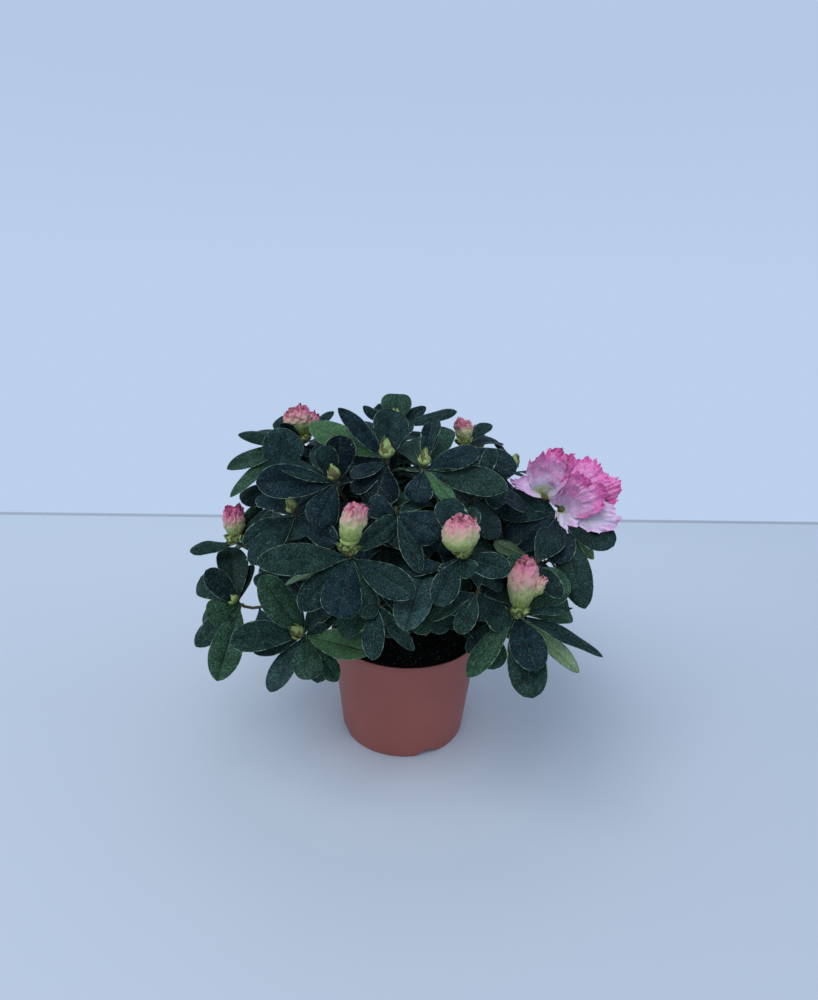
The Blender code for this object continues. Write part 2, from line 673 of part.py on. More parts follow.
def make_foliage(limbs, materials, collection, scratch):
    """Grows every mass: its stem and twigs, what they bear, and the leaves that find room."""
    dice = random.Random(SEED)
    shoots = grow_shoots(dice)
    placed = []
    for limb in limbs:
        spots = limb.data.splines[0].points
        mesh = tube_mesh([spot.co.xyz for spot in spots], [spot.radius for spot in spots], LIMB_SIDES)
        placed.append(piece_of("limbs", limb.name, mesh))
        mesh.free()
    tools, paths = {}, {}
    twig_radii = [mix(TWIG_RADII, i / (TWIG_POINTS - 1)) for i in range(TWIG_POINTS)]
    for mass in MASSES:
        tools[mass.name] = []
        hub, way = hub_of(mass), hub_way(mass)
        grown = [("stem", tube_mesh([hub + way * GAP, hub + way * STEMLET], STEMLET_RADII, TWIG_SIDES))]
        for number, shoot in enumerate(shoots):
            if shoot.mass == mass.name:
                paths[number] = twig_path(shoot, mass)
                grown.append((number, tube_mesh(paths[number], twig_radii, TWIG_SIDES)))
        for number, mesh in grown:
            placed.append(piece_of(mass.name, number, mesh))
            tools[mass.name].append(loose_tool(mesh))
    for number, shoot in enumerate(shoots):
        for mesh in flower_meshes(shoot):
            placed.append(piece_of(shoot.mass, number, mesh))
            tools[shoot.mass].append(loose_tool(mesh))
    for number, shoot in enumerate(shoots):
        for blade in place_leaves(shoot, paths[number], number, placed, dice):
            tools[shoot.mass].append(loose_tool(blade_mesh(blade, LEAF_SECTIONS, LEAF_CREST)))
    for name, pieces in tools.items():
        union_all(f"foliage_{name}", pieces, materials["leaf"], collection, scratch)


def flower_meshes(shoot):
    """The bud, or the petals of the bloom, that a shoot bears."""
    if shoot.bears == "bloom":
        return bloom_meshes(shoot)
    if shoot.bears:
        return [bud_mesh(shoot)]
    return []


def loose_tool(mesh):
    """Makes an unlinked object from a bmesh, to be joined into its mass."""
    data = bpy.data.meshes.new("tool")
    mesh.to_mesh(data)
    mesh.free()
    return bpy.data.objects.new("tool", data)


def main():
    clear_scene()
    plant = new_collection("azalea")
    cutters = new_collection("cutters")
    scratch = new_collection("scratch")
    materials = {
        "pot": new_material("pot_plastic", (0.17, 0.065, 0.06), 0.5),
        "soil": new_material("peat", (0.012, 0.011, 0.010), 0.95),
        "bark": new_material("bark", (0.12, 0.08, 0.055), 0.85),
        "leaf": new_material("leaf", (0.018, 0.045, 0.040), 0.55),
    }
    make_pot(materials["pot"], plant, cutters)
    make_soil(materials["soil"], plant)
    limbs = make_limbs(materials["bark"], plant)
    make_foliage(limbs, materials, plant, scratch)
    bpy.data.collections.remove(scratch)


main()
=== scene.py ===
"""The looks of the pot azalea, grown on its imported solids.

Twigs, leaves, buds and the bloom follow the part's own rule: the same shoots, the same twigs and the same
search for room, carried on to older leaves further back on each twig and to an inner layer of shoots. Every
foliage solid is replaced by its own leaves, twigs and flowers. Metres, +Z up, front towards -Y.
"""

import math
import random
from collections import namedtuple

import bmesh
import bpy
import numpy as np
from mathutils import Matrix, Vector, noise
from mathutils.bvhtree import BVHTree


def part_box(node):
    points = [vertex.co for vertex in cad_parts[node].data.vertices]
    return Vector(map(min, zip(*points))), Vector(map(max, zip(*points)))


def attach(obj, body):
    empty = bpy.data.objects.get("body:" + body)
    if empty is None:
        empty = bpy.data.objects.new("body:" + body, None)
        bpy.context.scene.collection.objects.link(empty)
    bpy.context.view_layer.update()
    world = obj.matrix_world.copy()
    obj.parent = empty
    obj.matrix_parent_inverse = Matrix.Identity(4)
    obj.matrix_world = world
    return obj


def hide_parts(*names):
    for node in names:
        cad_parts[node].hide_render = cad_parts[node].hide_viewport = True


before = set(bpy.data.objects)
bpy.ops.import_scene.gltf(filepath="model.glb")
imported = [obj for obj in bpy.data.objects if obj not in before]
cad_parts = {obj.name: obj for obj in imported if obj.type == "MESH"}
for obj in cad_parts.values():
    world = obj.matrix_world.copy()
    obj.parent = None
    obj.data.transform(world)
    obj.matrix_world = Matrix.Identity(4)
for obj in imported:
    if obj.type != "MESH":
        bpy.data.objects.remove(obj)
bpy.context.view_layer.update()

MM = 0.001
GAP = 0.3 * MM
UP = Vector((0, 0, 1))
RIGHT = Vector((1, 0, 0))
FULL_TURN = 360
PATH_PULL = 0.4

# ---- Camera and stage
CAMERA_HEIGHT = 313 * MM
CAMERA_BACK = 403 * MM  # in front of the pot's axis
CAMERA_PITCH = 19.2  # degrees down
CAMERA_ROLL = 1.9
CAMERA_PAN = -0.07
CAMERA_LENS = 23.08
SENSOR_HEIGHT = 36
IMAGE_SIZE = (818, 1000)
FOCUS = IMAGE_SIZE[1] * CAMERA_LENS / SENSOR_HEIGHT
TABLE_EDGE = ((-1.4, 0.341), (1.4, 0.509))  # far edge of the table top, in plan
TABLE_FRONT = -2.6
TABLE_THICK = 30 * MM
TABLE_FAR_PAINTED_LIGHT = 1.14  # painted light: the table is this much paler at its far edge than around the pot
POT_PAINTED_LIGHT = 1.20  # painted light that lightens the plant's shadow: the table is paler by this much close to the pot
POT_PAINTED_LIGHT_REACH = (60 * MM, 135 * MM)  # from the pot's axis: where that is strongest, and where it ends
PAINTED_SHADE_WIDTH = 11 * MM  # the strip of painted shade along the far edge of the table
WALL_COLOUR = (0.50, 0.63, 0.84)
TABLE_COLOUR = (0.60, 0.615, 0.64)

# ---- Stem and boughs
STEM_FOOT = 75.8 * MM
STEM_HEIGHT = 30 * MM
STEM_FLARE = ((0, 8.5), (0.08, 6.9), (0.25, 5.7), (0.6, 5.1), (1, 4.7))  # share of height, radius in mm
STEM_LEAN = Vector((2.0, 1.5, 0)) * MM
STEM_BEND = 1.5
BOUGH_RADII = (2.3 * MM, 1.5 * MM)
BOUGH_POINTS = 6
BOUGH_START_DEG = 20
CAP_CLEAR = 0.5
HUB_SHARE = 0.42

Mass = namedtuple("Mass", "name bearing rise root")
MASSES = tuple(Mass(*row) for row in (
    ("front", -92, 22, 0.28),
    ("front_right", -42, 14, 0.50),
    ("right", 10, 20, 0.28),
    ("back_right", 62, 14, 0.50),
    ("back_left", 118, 18, 0.28),
    ("left", 172, 14, 0.56),
    ("front_left", -142, 16, 0.36),
    ("upper_front", -70, 58, 0.84),
    ("upper_right", 20, 52, 0.80),
    ("upper_back", 100, 54, 0.84),
    ("upper_left", -170, 54, 0.80),
    ("top", -120, 88, 1.0),
))

# ---- Crown, as in the part
CROWN_CENTRE = Vector((0, 5, 128)) * MM
CROWN_SEMI = Vector((106, 100, 88)) * MM
HEART = Vector((0, 0, 70)) * MM
SHOOT_RISE = 0.7
FILL_COUNT = 100
FILL_TOP_DEG = 72
FILL_LOW_DEG = -16
FILL_DEPTHS = (0.9, 1.0)
FILL_SCALES = (0.85, 1.08)
FILL_CLEAR = 31.5 * MM
FILL_BEHIND = -42 * MM
GOLDEN = math.radians(137.508)
TWIG_RADII = (1.8 * MM, 1.2 * MM)
TWIG_POINTS = 4
TWIG_SIDES = 3
STEMLET = 6 * MM
STEMLET_RADII = (1.5 * MM, 1.9 * MM)
LIMB_SIDES = 10
LEAF_WIDTH = 0.56
LEAF_SECTIONS = ((0.0, 0.035), (0.38, 0.76), (0.76, 1.0))
LEAF_LIFTS = (-24, 38)
LEAF_BACKS = (9 * MM, 2 * MM)
LEAF_BENDS = (20, 44)
LEAF_STRAY = 5
FILL_LEAVES = 7
FILL_LENGTHS = (42 * MM, 28 * MM)
PROBE_CREST = 1.9 * MM
TRIES = ((0, 0, 1), (10, 4, 1), (-10, 4, 1), (0, 14, 0.95), (20, 8, 0.95), (-20, 8, 0.9), (30, 14, 0.85),
         (-30, 14, 0.8), (0, 24, 0.75), (15, -10, 0.7))
BUD_SIZES = {"pink": (26 * MM, 8.6 * MM), "small": (9 * MM, 3 * MM)}
BUD_STEPS = {"pink": (7, 5), "small": (5, 4)}
BUD_TAPER = 0.18
BUD_SEAT = 0.42
FILL_BUDS = ("small", "small", "", "pink", "small", "", "small")
BLOOM_AXIS = Vector((0.40, -0.45, 0.80)).normalized()
BLOOM_LENGTH = 40 * MM
BLOOM_LEANS = (58, 64, 61, 67, 60, 65)
BLOOM_DOME = (26 * MM, 17 * MM)
BLOOM_FRILL = 0.10
BLOOM_RUFFLES = 5
BLOOM_STEPS = (15, 6)
PETAL_WIDTH = 0.98
PETAL_SECTIONS = ((0.0, 0.16), (0.4, 0.7), (0.8, 1.0))
PETAL_CREST = 1.1 * MM
PETAL_BEND = 34
PETAL_SINK = 1.0 * MM
SEED = 5127

# Main shoots: tip in mm, what it bears, its size, then (turn in degrees, length in mm) of each leaf, oldest
# first. A turn is taken facing the shoot: 0 right, 90 up, 180 left and -90 down.
MAIN_SHOOTS = (
    ((-33, -79, 168), "pink", 0.95,
     ((-80, 34), (140, 26), (-35, 38), (-130, 42), (-90, 44), (-155, 50), (15, 34))),
    ((30, -78, 170), "pink", 0.80,
     ((-130, 46), (-90, 38), (20, 34), (-115, 36), (175, 40), (110, 32))),
    ((65, -75, 133), "pink", 0.90,
     ((175, 40), (-115, 44), (-50, 38), (-75, 50), (-145, 34), (-32, 52), (15, 38), (50, 40), (85, 36))),
    ((-61, -76, 114), "small", 1.00,
     ((-15, 40), (-65, 34), (-95, 30), (-125, 40), (100, 28), (-170, 44), (125, 42))),
    ((-110, -36, 112), "small", 1.10,
     ((0, 34), (-60, 36), (-135, 48), (-175, 48), (160, 42), (105, 46), (130, 44))),
    ((-114, -14, 146), "pink", 0.95,
     ((-60, 28), (-140, 36), (110, 34), (60, 34), (170, 42), (100, 38))),
    ((-69, -45, 179), "small", 0.90,
     ((-60, 30), (-120, 24), (10, 28), (165, 30), (135, 34), (80, 28))),
    ((-45, -38, 198), "small", 1.00,
     ((-70, 28), (-120, 36), (-160, 36), (20, 32), (170, 50), (90, 44), (115, 30))),
    ((-74, 16, 207), "pink", 1.00,
     ((-100, 34), (-30, 34), (-150, 40), (60, 36), (165, 44), (120, 36))),
    ((-94, 0, 184), "", 0.90,
     ((-120, 34), (-60, 32), (-165, 42), (160, 42), (90, 32))),
    ((-15, -29, 210), "small", 1.10,
     ((-110, 42), (-40, 28), (150, 34), (175, 40), (100, 38), (55, 32))),
    ((8, -35, 208), "small", 0.90,
     ((-100, 34), (165, 30), (-45, 30), (105, 42), (80, 46), (45, 38))),
    ((45, -35, 198), "", 1.00,
     ((-150, 36), (-80, 30), (10, 34), (45, 38), (130, 30), (95, 30))),
    ((35, 13, 211), "pink", 0.75,
     ((-90, 32), (0, 34), (180, 34), (60, 40), (135, 38), (100, 36))),
    ((98, -14, 175), "bloom", 1.00,
     ((-150, 42), (-55, 50), (-100, 46), (-15, 44), (160, 40), (-125, 44), (-75, 40))),
    ((40, -83, 150), "", 0.90,
     ((170, 34), (25, 28), (-110, 30), (-60, 30), (140, 26))),
    ((78, -55, 157), "", 0.90,
     ((110, 36), (-10, 36), (-115, 28), (65, 34), (-50, 34))),
    ((-17, -92, 146), "", 0.90,
     ((-100, 34), (-50, 28), (-140, 34), (-10, 34))),
    ((-11, 10, 222), "small", 0.90,
     ((-150, 34), (-60, 32), (20, 36), (160, 40), (65, 38), (105, 38))),
    ((-8, -52, 186), "", 0.90,
     ((-20, 30), (-105, 34), (60, 28), (-145, 36), (-60, 42))),
    ((-81, -52, 149), "", 1.00,
     ((-120, 38), (-60, 34), (170, 42), (110, 34), (-160, 40))),
    ((12, -60, 158), "", 0.95,
     ((-80, 36), (0, 32), (-125, 36), (-40, 36), (85, 34), (150, 32))),
)

# ---- Leaves of the main shoots as seen from the camera: the shoot's row above, where the tip is seen (image
# across and down, of 818 x 1000), true over seen length (negative where it points away), roll in degrees from
# facing the camera, seen width in the image, and tint.
SEEN_LEAVES = (
    (0, 340, 618, 1.15, 0, 40, 0), (0, 413, 597, 1.12, 10, 30, 1), (0, 256, 562, 1.08, 15, 30, 2),
    (0, 301, 611, 1.08, 15, 28, 1), (0, 374, 618, 1.03, 10, 27, 2), (0, 397, 518, -1.15, 0, 24, 2),
    (0, 285, 584, 1.10, 140, 10, 3),
    (1, 435, 605, 1.12, 0, 26, 1), (1, 472, 576, 1.30, 0, 20, 2), (1, 510, 573, 1.10, 20, 24, 1),
    (1, 471, 507, -1.10, 0, 24, 2), (1, 446, 580, 1.05, 20, 22, 0),
    (2, 459, 603, 1.14, 10, 26, 1), (2, 467, 677, 1.04, 28, 21, 4), (2, 466, 652, -1.03, 15, 20, 1),
    (2, 536, 671, 1.20, 0, 33, 0), (2, 534, 698, 1.04, 0, 37, 2), (2, 603, 657, 1.04, 42, 15, 1),
    (2, 579, 673, 1.03, 148, 16, 3), (2, 573, 608, 1.05, 62, 10, 1), (2, 552, 567, -1.20, 0, 14, 3),
    (3, 370, 654, 1.10, 14, 33, 5), (3, 338, 681, 1.00, 15, 20, 3), (3, 308, 680, 1.22, 0, 27, 3),
    (3, 270, 692, 1.04, 25, 22, 7), (3, 230, 642, 1.05, 32, 26, 2), (3, 250, 648, 1.04, 42, 22, 1),
    (3, 260, 577, 1.18, 0, 31, 4), (3, 288, 596, 1.05, 0, 16, 1), (3, 332, 599, -1.10, 20, 26, 2),
    (3, 327, 627, 1.10, 35, 10, 1),
    (4, 230, 547, -1.10, 0, 30, 2), (4, 205, 571, 1.10, 10, 22, 1), (4, 240, 563, -1.20, 35, 13, 1),
    (4, 207, 615, 1.20, 5, 28, 4), (4, 211, 628, 1.05, 30, 17, 1), (4, 195, 646, 1.08, 10, 21, 2),
    (4, 217, 681, 1.08, 0, 30, 4), (4, 252, 564, -1.20, 15, 12, 1),
    (5, 190, 552, 1.05, 60, 9, 2), (5, 262, 508, -1.10, 15, 20, 2),
    (6, 250, 564, 1.10, 18, 26, 1), (6, 243, 545, 1.05, 25, 21, 1), (6, 337, 544, 1.15, 0, 24, 0),
    (6, 299, 539, 1.20, 0, 24, 1),
    (7, 340, 435, 1.04, 0, 30, 6), (7, 321, 446, 1.08, 0, 22, 1), (7, 256, 484, 1.04, 20, 31, 0),
    (7, 282, 470, 1.10, 50, 10, 1), (7, 317, 528, 1.15, 0, 33, 0),
    (8, 238, 435, 1.03, 40, 13, 2), (8, 281, 423, 1.15, 0, 13, 6), (8, 333, 411, -1.15, 20, 11, 1),
    (8, 300, 453, 2.4, 0, 18, 0), (8, 227, 469, 1.03, 45, 13, 3),
    (9, 288, 429, 1.12, 0, 38, 7), (8, 322, 457, 1.10, 0, 18, 6), (8, 308, 471, 1.15, 0, 18, 6),
    (10, 353, 456, -1.10, 0, 20, 0), (8, 230, 497, 1.05, 42, 13, 4), (9, 242, 503, 1.05, 20, 22, 1),
    (10, 351, 477, 1.12, 38, 16, 0), (10, 374, 503, 1.15, 0, 40, 6), (10, 352, 492, 1.05, 30, 20, 6),
    (10, 394, 410, -1.10, 0, 36, 1), (10, 389, 424, -1.10, 0, 17, 2), (10, 338, 408, 1.02, 15, 18, 0),
    (10, 309, 424, -1.02, 15, 27, 5), (10, 414, 424, -1.10, 45, 12, 1),
    (11, 455, 503, 1.10, 0, 15, 5), (11, 417, 502, 1.10, 0, 28, 0), (11, 437, 418, -1.10, 40, 16, 1),
    (11, 479, 451, 1.06, 18, 24, 0), (11, 479, 463, 1.04, 48, 14, 1), (11, 508, 488, 1.04, 20, 28, 2),
    (11, 431, 422, -1.10, 0, 18, 0),
    (12, 493, 450, -1.10, 25, 16, 1), (12, 505, 503, 1.10, 20, 22, 1),
    (13, 491, 424, -1.10, 28, 14, 1), (13, 515, 474, 1.08, 18, 26, 0),
    (14, 614, 546, 1.10, 18, 28, 1), (14, 594, 559, 1.04, 145, 16, 3), (14, 584, 609, 1.06, -10, 30, 2),
    (14, 559, 564, 1.15, 0, 30, 0), (14, 505, 544, 1.06, 10, 28, 0), (14, 494, 513, 1.04, 22, 20, 1),
    (14, 511, 491, 1.03, 25, 18, 1),
    (14, 517, 549, 1.04, 10, 26, 0),
    (15, 444, 610, 1.05, 28, 20, 1), (15, 432, 621, 1.02, 46, 13, 3), (15, 459, 634, 1.10, 0, 20, 2),
    (16, 494, 541, 1.02, 138, 14, 3), (16, 561, 598, 1.20, 0, 19, 1),
    (17, 413, 651, -1.03, 0, 15, 2), (17, 373, 660, 1.05, 10, 22, 1), (17, 395, 636, -1.05, 0, 20, 2),
    (18, 398, 394, -1.06, 0, 30, 3), (18, 363, 406, 1.05, 42, 11, 1), (18, 426, 407, -1.10, 10, 12, 1),
    (18, 375, 407, -1.10, 0, 16, 1), (18, 457, 411, 1.02, 64, 8, 1),
    (19, 439, 536, 1.10, 8, 34, 0), (19, 368, 504, 1.10, 8, 24, 0), (19, 420, 573, 1.06, 8, 20, 1),
    (20, 299, 611, 1.05, 0, 22, 0), (20, 262, 590, 1.05, 20, 22, 1),
    (21, 406, 631, 1.35, 0, 34, 7), (21, 447, 590, 1.06, 20, 20, 1),
)
SEEN_BEND = 26  # degrees
UPRIGHT_RUN = 0.35  # sine of the angle from the vertical within which a roll is told by the right, not by up
SEEN_EDGE = 0.45  # least share of its width that a leaf seen edge on is taken to show
SEEN_BACKS = (4 * MM, 2 * MM)
VIEW_SECTIONS = ((0.2, 0.5), (0.45, 0.9), (0.7, 1.0), (0.9, 0.6))
OPEN_VIEWS = (  # left, top, right and bottom of the places that the added leaves leave open to the camera
    (374, 632, 464, 668), (243, 586, 258, 618), (246, 548, 254, 562), (300, 604, 309, 624),
    (190, 556, 240, 566), (362, 380, 386, 402), (514, 483, 529, 493), (456, 422, 470, 437),
    (213, 480, 230, 491), (212, 512, 220, 536), (566, 609, 577, 617),
)

# ---- What the scene adds inside the crown
INNER_COUNT = 70  # shoots of the inner layer that are tried
INNER_SINES = (0.9, -0.35)  # sines of their highest and lowest rise
INNER_DEPTHS = (0.60, 0.76)  # how far out to the dome they reach
INNER_CLEAR = 21 * MM
INNER_LENGTHS = (36 * MM, 26 * MM)
OLD_LEAVES = 4  # older leaves on each twig, behind its whorl
OLD_BACKS = (24 * MM, 13 * MM)
OLD_LENGTHS = (36 * MM, 33 * MM)
OLD_LIFTS = (-14, 4)
FINE_CREST = 1.2 * MM  # thickness of the probe for the added leaves

FAR_LEAF = 0.1  # main shoots keep only those whorl leaves that lead off from the camera by this share

# ---- Leaf surface
LEAF_ROWS = 23
LEAF_COLUMNS = (-1, -0.86, -0.66, -0.44, -0.2, -0.035, 0.035, 0.2, 0.44, 0.66, 0.86, 1)
MIDRIB_COLUMN = 5  # the strip between the two middle columns
UNDER_COLUMNS = [0, 2, 4, 5, 6, 7, 9, 11]  # those of them that the plainer under side keeps
STALK_SHARE = 0.07  # of the leaf's length
STALK_WIDTH = 0.085  # of the leaf's half width
LEAF_THICK = 0.35 * MM
VEINS = 5.5  # pairs of side veins
VEIN_DEPTH = 0.32 * MM
GROOVE_DEPTH = 0.55 * MM
HAIRS_PER_ROW = 3
HAIR_LENGTH = 0.75 * MM
HAIR_WIDTH = 0.20 * MM
LEAF_SHEEN = 0.02

# ---- Twigs and limbs
STEM_POINTS = 25
LIMB_POINTS = 26
FINE_POINTS = 14
FINE_RADII = (1.3 * MM, 0.95 * MM)
LOW_SHOOT = 135 * MM  # shoots below this are the greener ones

# ---- Colours, linear
LEAF_TOPS = (  # tint, roughness, share of the painted sheen, depth of the clouds and grain
    ((0.0025, 0.0095, 0.0130), 0.46, 1.0, 1.0), ((0.0035, 0.0135, 0.0115), 0.50, 1.0, 1.0),
    ((0.0065, 0.0200, 0.0130), 0.48, 1.0, 1.0), ((0.0130, 0.0345, 0.0185), 0.48, 1.1, 1.0),
    ((0.0190, 0.0480, 0.0230), 0.50, 1.0, 1.0), ((0.046, 0.104, 0.038), 0.50, 0.8, 0.5),
    # the first tint on this line, nearly black with little painted sheen, is painted shade for leaves that
    # lie in shadow; the second has the most painted sheen
    ((0.0010, 0.0045, 0.0070), 0.46, 0.20, 1.0), ((0.0120, 0.0300, 0.0270), 0.50, 1.7, 1.0),
)
HIGH_TINTS = (0, 1, 0, 2, 1, 3)
LOW_TINTS = (2, 3, 4, 3, 2, 4)
LEAF_UNDERS = ((0.19, 0.27, 0.14), (0.12, 0.18, 0.10))
LEAF_RIB = (0.012, 0.034, 0.020)
LEAF_MARGIN = (0.17, 0.24, 0.16)
PETAL_STOPS = (
    (0.0, (0.28, 0.33, 0.09)), (0.12, (0.52, 0.54, 0.22)), (0.22, (0.70, 0.65, 0.48)),
    (0.32, (0.78, 0.70, 0.80)), (0.42, (0.82, 0.60, 0.78)), (0.52, (0.88, 0.48, 0.70)),
    (0.64, (0.86, 0.31, 0.56)), (0.80, (0.82, 0.15, 0.43)), (1.0, (0.62, 0.05, 0.24)),
)
PALE_PETAL = 0.40  # petals with a middle tint below this are ruffled less
BUD_STOPS = (
    (0.0, (0.14, 0.20, 0.035)), (0.22, (0.28, 0.36, 0.09)), (0.42, (0.46, 0.48, 0.20)),
    (0.56, (0.62, 0.42, 0.28)), (0.72, (0.70, 0.31, 0.30)), (0.88, (0.72, 0.21, 0.29)),
    (1.0, (0.66, 0.11, 0.28)),
)
POT_COLOUR = (0.345, 0.094, 0.070)
LEAF_HAIR = (0.24, 0.32, 0.30)
LEAF_PAINTED_SHEEN = (0.028, 0.045, 0.042)  # the painted sheen that is added to a leaf's tint

# ---- Pink buds as seen: the shoot's row, where the top of each of its parts is seen, true over seen length,
# width in the image, width at the foot over width, share of the way at which it starts, and tint at the top
SEEN_BUDS = (
    (0, 353, 502, 1.06, 25, 0.80, 0.22, 0.84), (0, 363, 504, 1.04, 17, 0.55, 0.40, 0.88),
    (1, 457, 514, 1.08, 37, 0.62, 0.08, 0.84), (1, 471, 516, 1.04, 26, 0.60, 0.10, 0.80),
    (2, 527, 557, 1.08, 32, 0.48, 0.04, 0.86), (2, 545, 578, 1.12, 12, 0.50, 0.45, 0.72),
    (8, 291, 408, 1.05, 19, 0.45, 0.15, 0.84), (8, 302, 404, 1.06, 22, 0.45, 0.15, 0.88),
    (8, 315, 412, 1.03, 16, 0.45, 0.20, 0.94),
    (5, 228, 506, 1.05, 18, 0.55, 0.08, 1.0), (5, 238, 504, 1.05, 16, 0.55, 0.08, 1.0),
    (13, 459, 418, 1.05, 15, 0.70, 0.05, 0.92), (13, 468, 420, 1.05, 14, 0.70, 0.05, 0.80),
)
BUD_PARTS = ((0.10, -0.5, 0.86), (-0.16, 0.9, 0.70))  # a hidden bud's parts: lean, turn, share of its radius
BUD_FOOT = 0.65
BUD_START = 0.1
BUD_TINT = 0.86
BUD_SINK = 0.5 * MM
BUD_PETALS = 5
BUD_FOLDS = 9  # crumpled petals that fill a bud's part
FOLD_TURN = 2.4
FOOT_SCALES = 8
SIDE_BUDS = 6
SCALE_SPAN = 0.72
BUD_WHORLS = (  # a green bud's scales: start, length, width and how far they spread, as shares of the bud
    (0.0, 0.50, 1.05, 0.55), (0.06, 0.66, 1.0, 0.35), (0.14, 0.78, 0.85, 0.12), (0.22, 0.78, 0.6, 0.0),
)
GREEN_GROWTH = (1.35, 1.3)  # how much longer and wider than the part's the green buds are
PETAL, SCALE, GREEN, BUD = range(4)  # slots of the flowers
BLOOM_SCALES = 7
PETAL_ROWS = 24
PETAL_COLUMNS = 47

# ---- The two flowers of the bloom: place of the base in mm from the shoot's tip, way it faces, then its far
# whorl (petals, first turn, lean, length and width in mm, bend)
BLOOM_FLOWERS = (
    ((-12, 0, 8), (0.10, -0.05, 0.99), ((5, 20, 24, 22, 17, 10), (4, 50, 12, 21, 16, 4))),
    ((0, 0, 0), (0.62, -0.30, 0.72), ((7, 10, 46, 28, 24, 14), (6, 40, 22, 27, 20, 6))),
)
FAR_PETAL = 0.2  # least share of a petal's way that leads off from the camera for the far whorls

# ---- The petals of the bloom as seen: flower, where the tip is seen, true over seen length (negative where
# it points away), roll, width in the image, and tints at the base, middle and rim
SEEN_PETALS = (
    (0, 513, 479, 1.05, 25, 15, 0.32, 0.44, 0.54), (0, 528, 471, -1.05, 10, 17, 0.14, 0.36, 0.52),
    (0, 541, 459, 1.10, 0, 28, 0.08, 0.41, 0.68), (0, 553, 452, 1.16, 0, 30, 0.14, 0.58, 0.82),
    (0, 565, 452, 1.08, -10, 28, 0.26, 0.70, 0.86), (0, 568, 464, 1.12, 20, 22, 0.24, 0.58, 0.66),
    (0, 562, 479, 1.15, 10, 21, 0.22, 0.46, 0.58),
    (1, 571, 461, -1.05, -10, 30, 0.36, 0.48, 0.66), (1, 583, 457, -1.15, 0, 35, 0.40, 0.74, 0.88),
    (1, 597, 463, -1.08, 5, 35, 0.40, 0.66, 0.82), (1, 610, 474, -1.05, 10, 32, 0.40, 0.60, 0.78),
    (1, 620, 487, 1.05, 5, 26, 0.42, 0.60, 0.78), (1, 612, 499, 1.12, 0, 23, 0.42, 0.60, 0.82),
    (1, 565, 480, 1.20, 0, 31, 0.44, 0.57, 0.64), (1, 587, 479, 1.30, 0, 36, 0.44, 0.64, 0.84),
    (1, 604, 493, 1.30, 5, 33, 0.42, 0.57, 0.84), (1, 585, 517, 1.28, 0, 27, 0.38, 0.37, 0.46),
    (1, 618, 519, 1.15, -10, 30, 0.36, 0.35, 0.52), (1, 582, 530, 1.15, 0, 24, 0.34, 0.33, 0.48),
    (1, 594, 531, 1.05, 0, 12, 0.34, 0.38, 0.66), (1, 556, 528, 1.04, 30, 15, 0.16, 0.30, 0.44),
)

# ---- Pot and soil
POT_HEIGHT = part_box("pot")[1].z
RIM_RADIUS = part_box("pot")[1].x
FOOT_RADIUS = 44 * MM
WALL = 1.2 * MM
LIP_HEIGHT = 4 * MM
LIP_STEP = 0.5 * MM
FOOT_ROUND = 2 * MM
FOOT_RING = 2.5 * MM
FLOOR_RISE = 5 * MM
BOSS_RADIUS = 17 * MM
BOSS_SLOPE = 4 * MM
POT_STEPS = 144
NOTCH_COUNT = 4
NOTCH_WIDTH = 17 * MM
NOTCH_HEIGHT = 4.5 * MM
NOTCH_BEARING = -66
DRAIN_COUNT = 6
DRAIN_RADIUS = 3.5 * MM
DRAIN_CIRCLE = 31 * MM
DRAIN_OFFSET = 0.4
SOIL_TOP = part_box("soil")[1].z
SOIL_EDGE = POT_HEIGHT - 3.5 * MM
SOIL_RADIUS = RIM_RADIUS - LIP_STEP - WALL - 0.2 * MM
SOIL_RINGS = 42
SOIL_STEPS = 120
CRUMBS = 5200
GRAINS = 420
FIBRES = 420

# ---- Light
WORLD_STRENGTH = 1.0
LIGHT_PLACE = (-0.40, -0.6, 1.4)
LIGHT_AIM = (0, 0, 0.1)
LIGHT_SIZE = 1.0
LIGHT_POWER = 11
LIGHT_COLOUR = (0.82, 0.91, 1.0)

Shoot = namedtuple("Shoot", "mass tip axis bears scale leaves")
Blade = namedtuple("Blade", "root along face length width bend")
Piece = namedtuple("Piece", "mass shoot tree outer_tree centre reach")
Crown = namedtuple("Crown", "shoots placed leaves")
Leaf = namedtuple("Leaf", "blade shoot kind tint")


# ---------------------------------------------------------------- the part's rule
def mix(ends, share):
    """The value at a share of the way between two ends."""
    return ends[0] + (ends[1] - ends[0]) * share


def taper(ends, count):
    """Values in even steps from one end to the other."""
    return [mix(ends, i / (count - 1)) for i in range(count)]


def heading(bearing_deg, rise_deg):
    """The unit direction of a bearing in the ground plane and a rise above it."""
    bearing, rise = math.radians(bearing_deg), math.radians(rise_deg)
    return Vector((math.cos(rise) * math.cos(bearing), math.cos(rise) * math.sin(bearing), math.sin(rise)))


def axis_frame(axis):
    """Two directions square to an axis: to the right, and up."""
    across = (RIGHT - axis * RIGHT.dot(axis)).normalized()
    return across, axis.cross(across)


def way_round(pair, turn):
    """The direction at a turn in radians from the first of a pair of directions to the second."""
    return pair[0] * math.cos(turn) + pair[1] * math.sin(turn)


def leaning(axis, side, lean):
    """The way a petal runs that leans from an axis to a side, and the way its upper side faces."""
    return way_round((axis, side), lean), axis * math.sin(lean) - side * math.cos(lean)


def bent_path(start, start_way, end, end_way, count):
    """Points on a smooth curve that leaves the start one way and reaches the end another."""
    reach = (end - start).length * PATH_PULL
    corners = (start, start + start_way * reach, end - end_way * reach, end)
    points = []
    for i in range(count):
        row = corners
        while len(row) > 1:
            row = [near.lerp(far, i / (count - 1)) for near, far in zip(row, row[1:])]
        points.append(row[0])
    return points


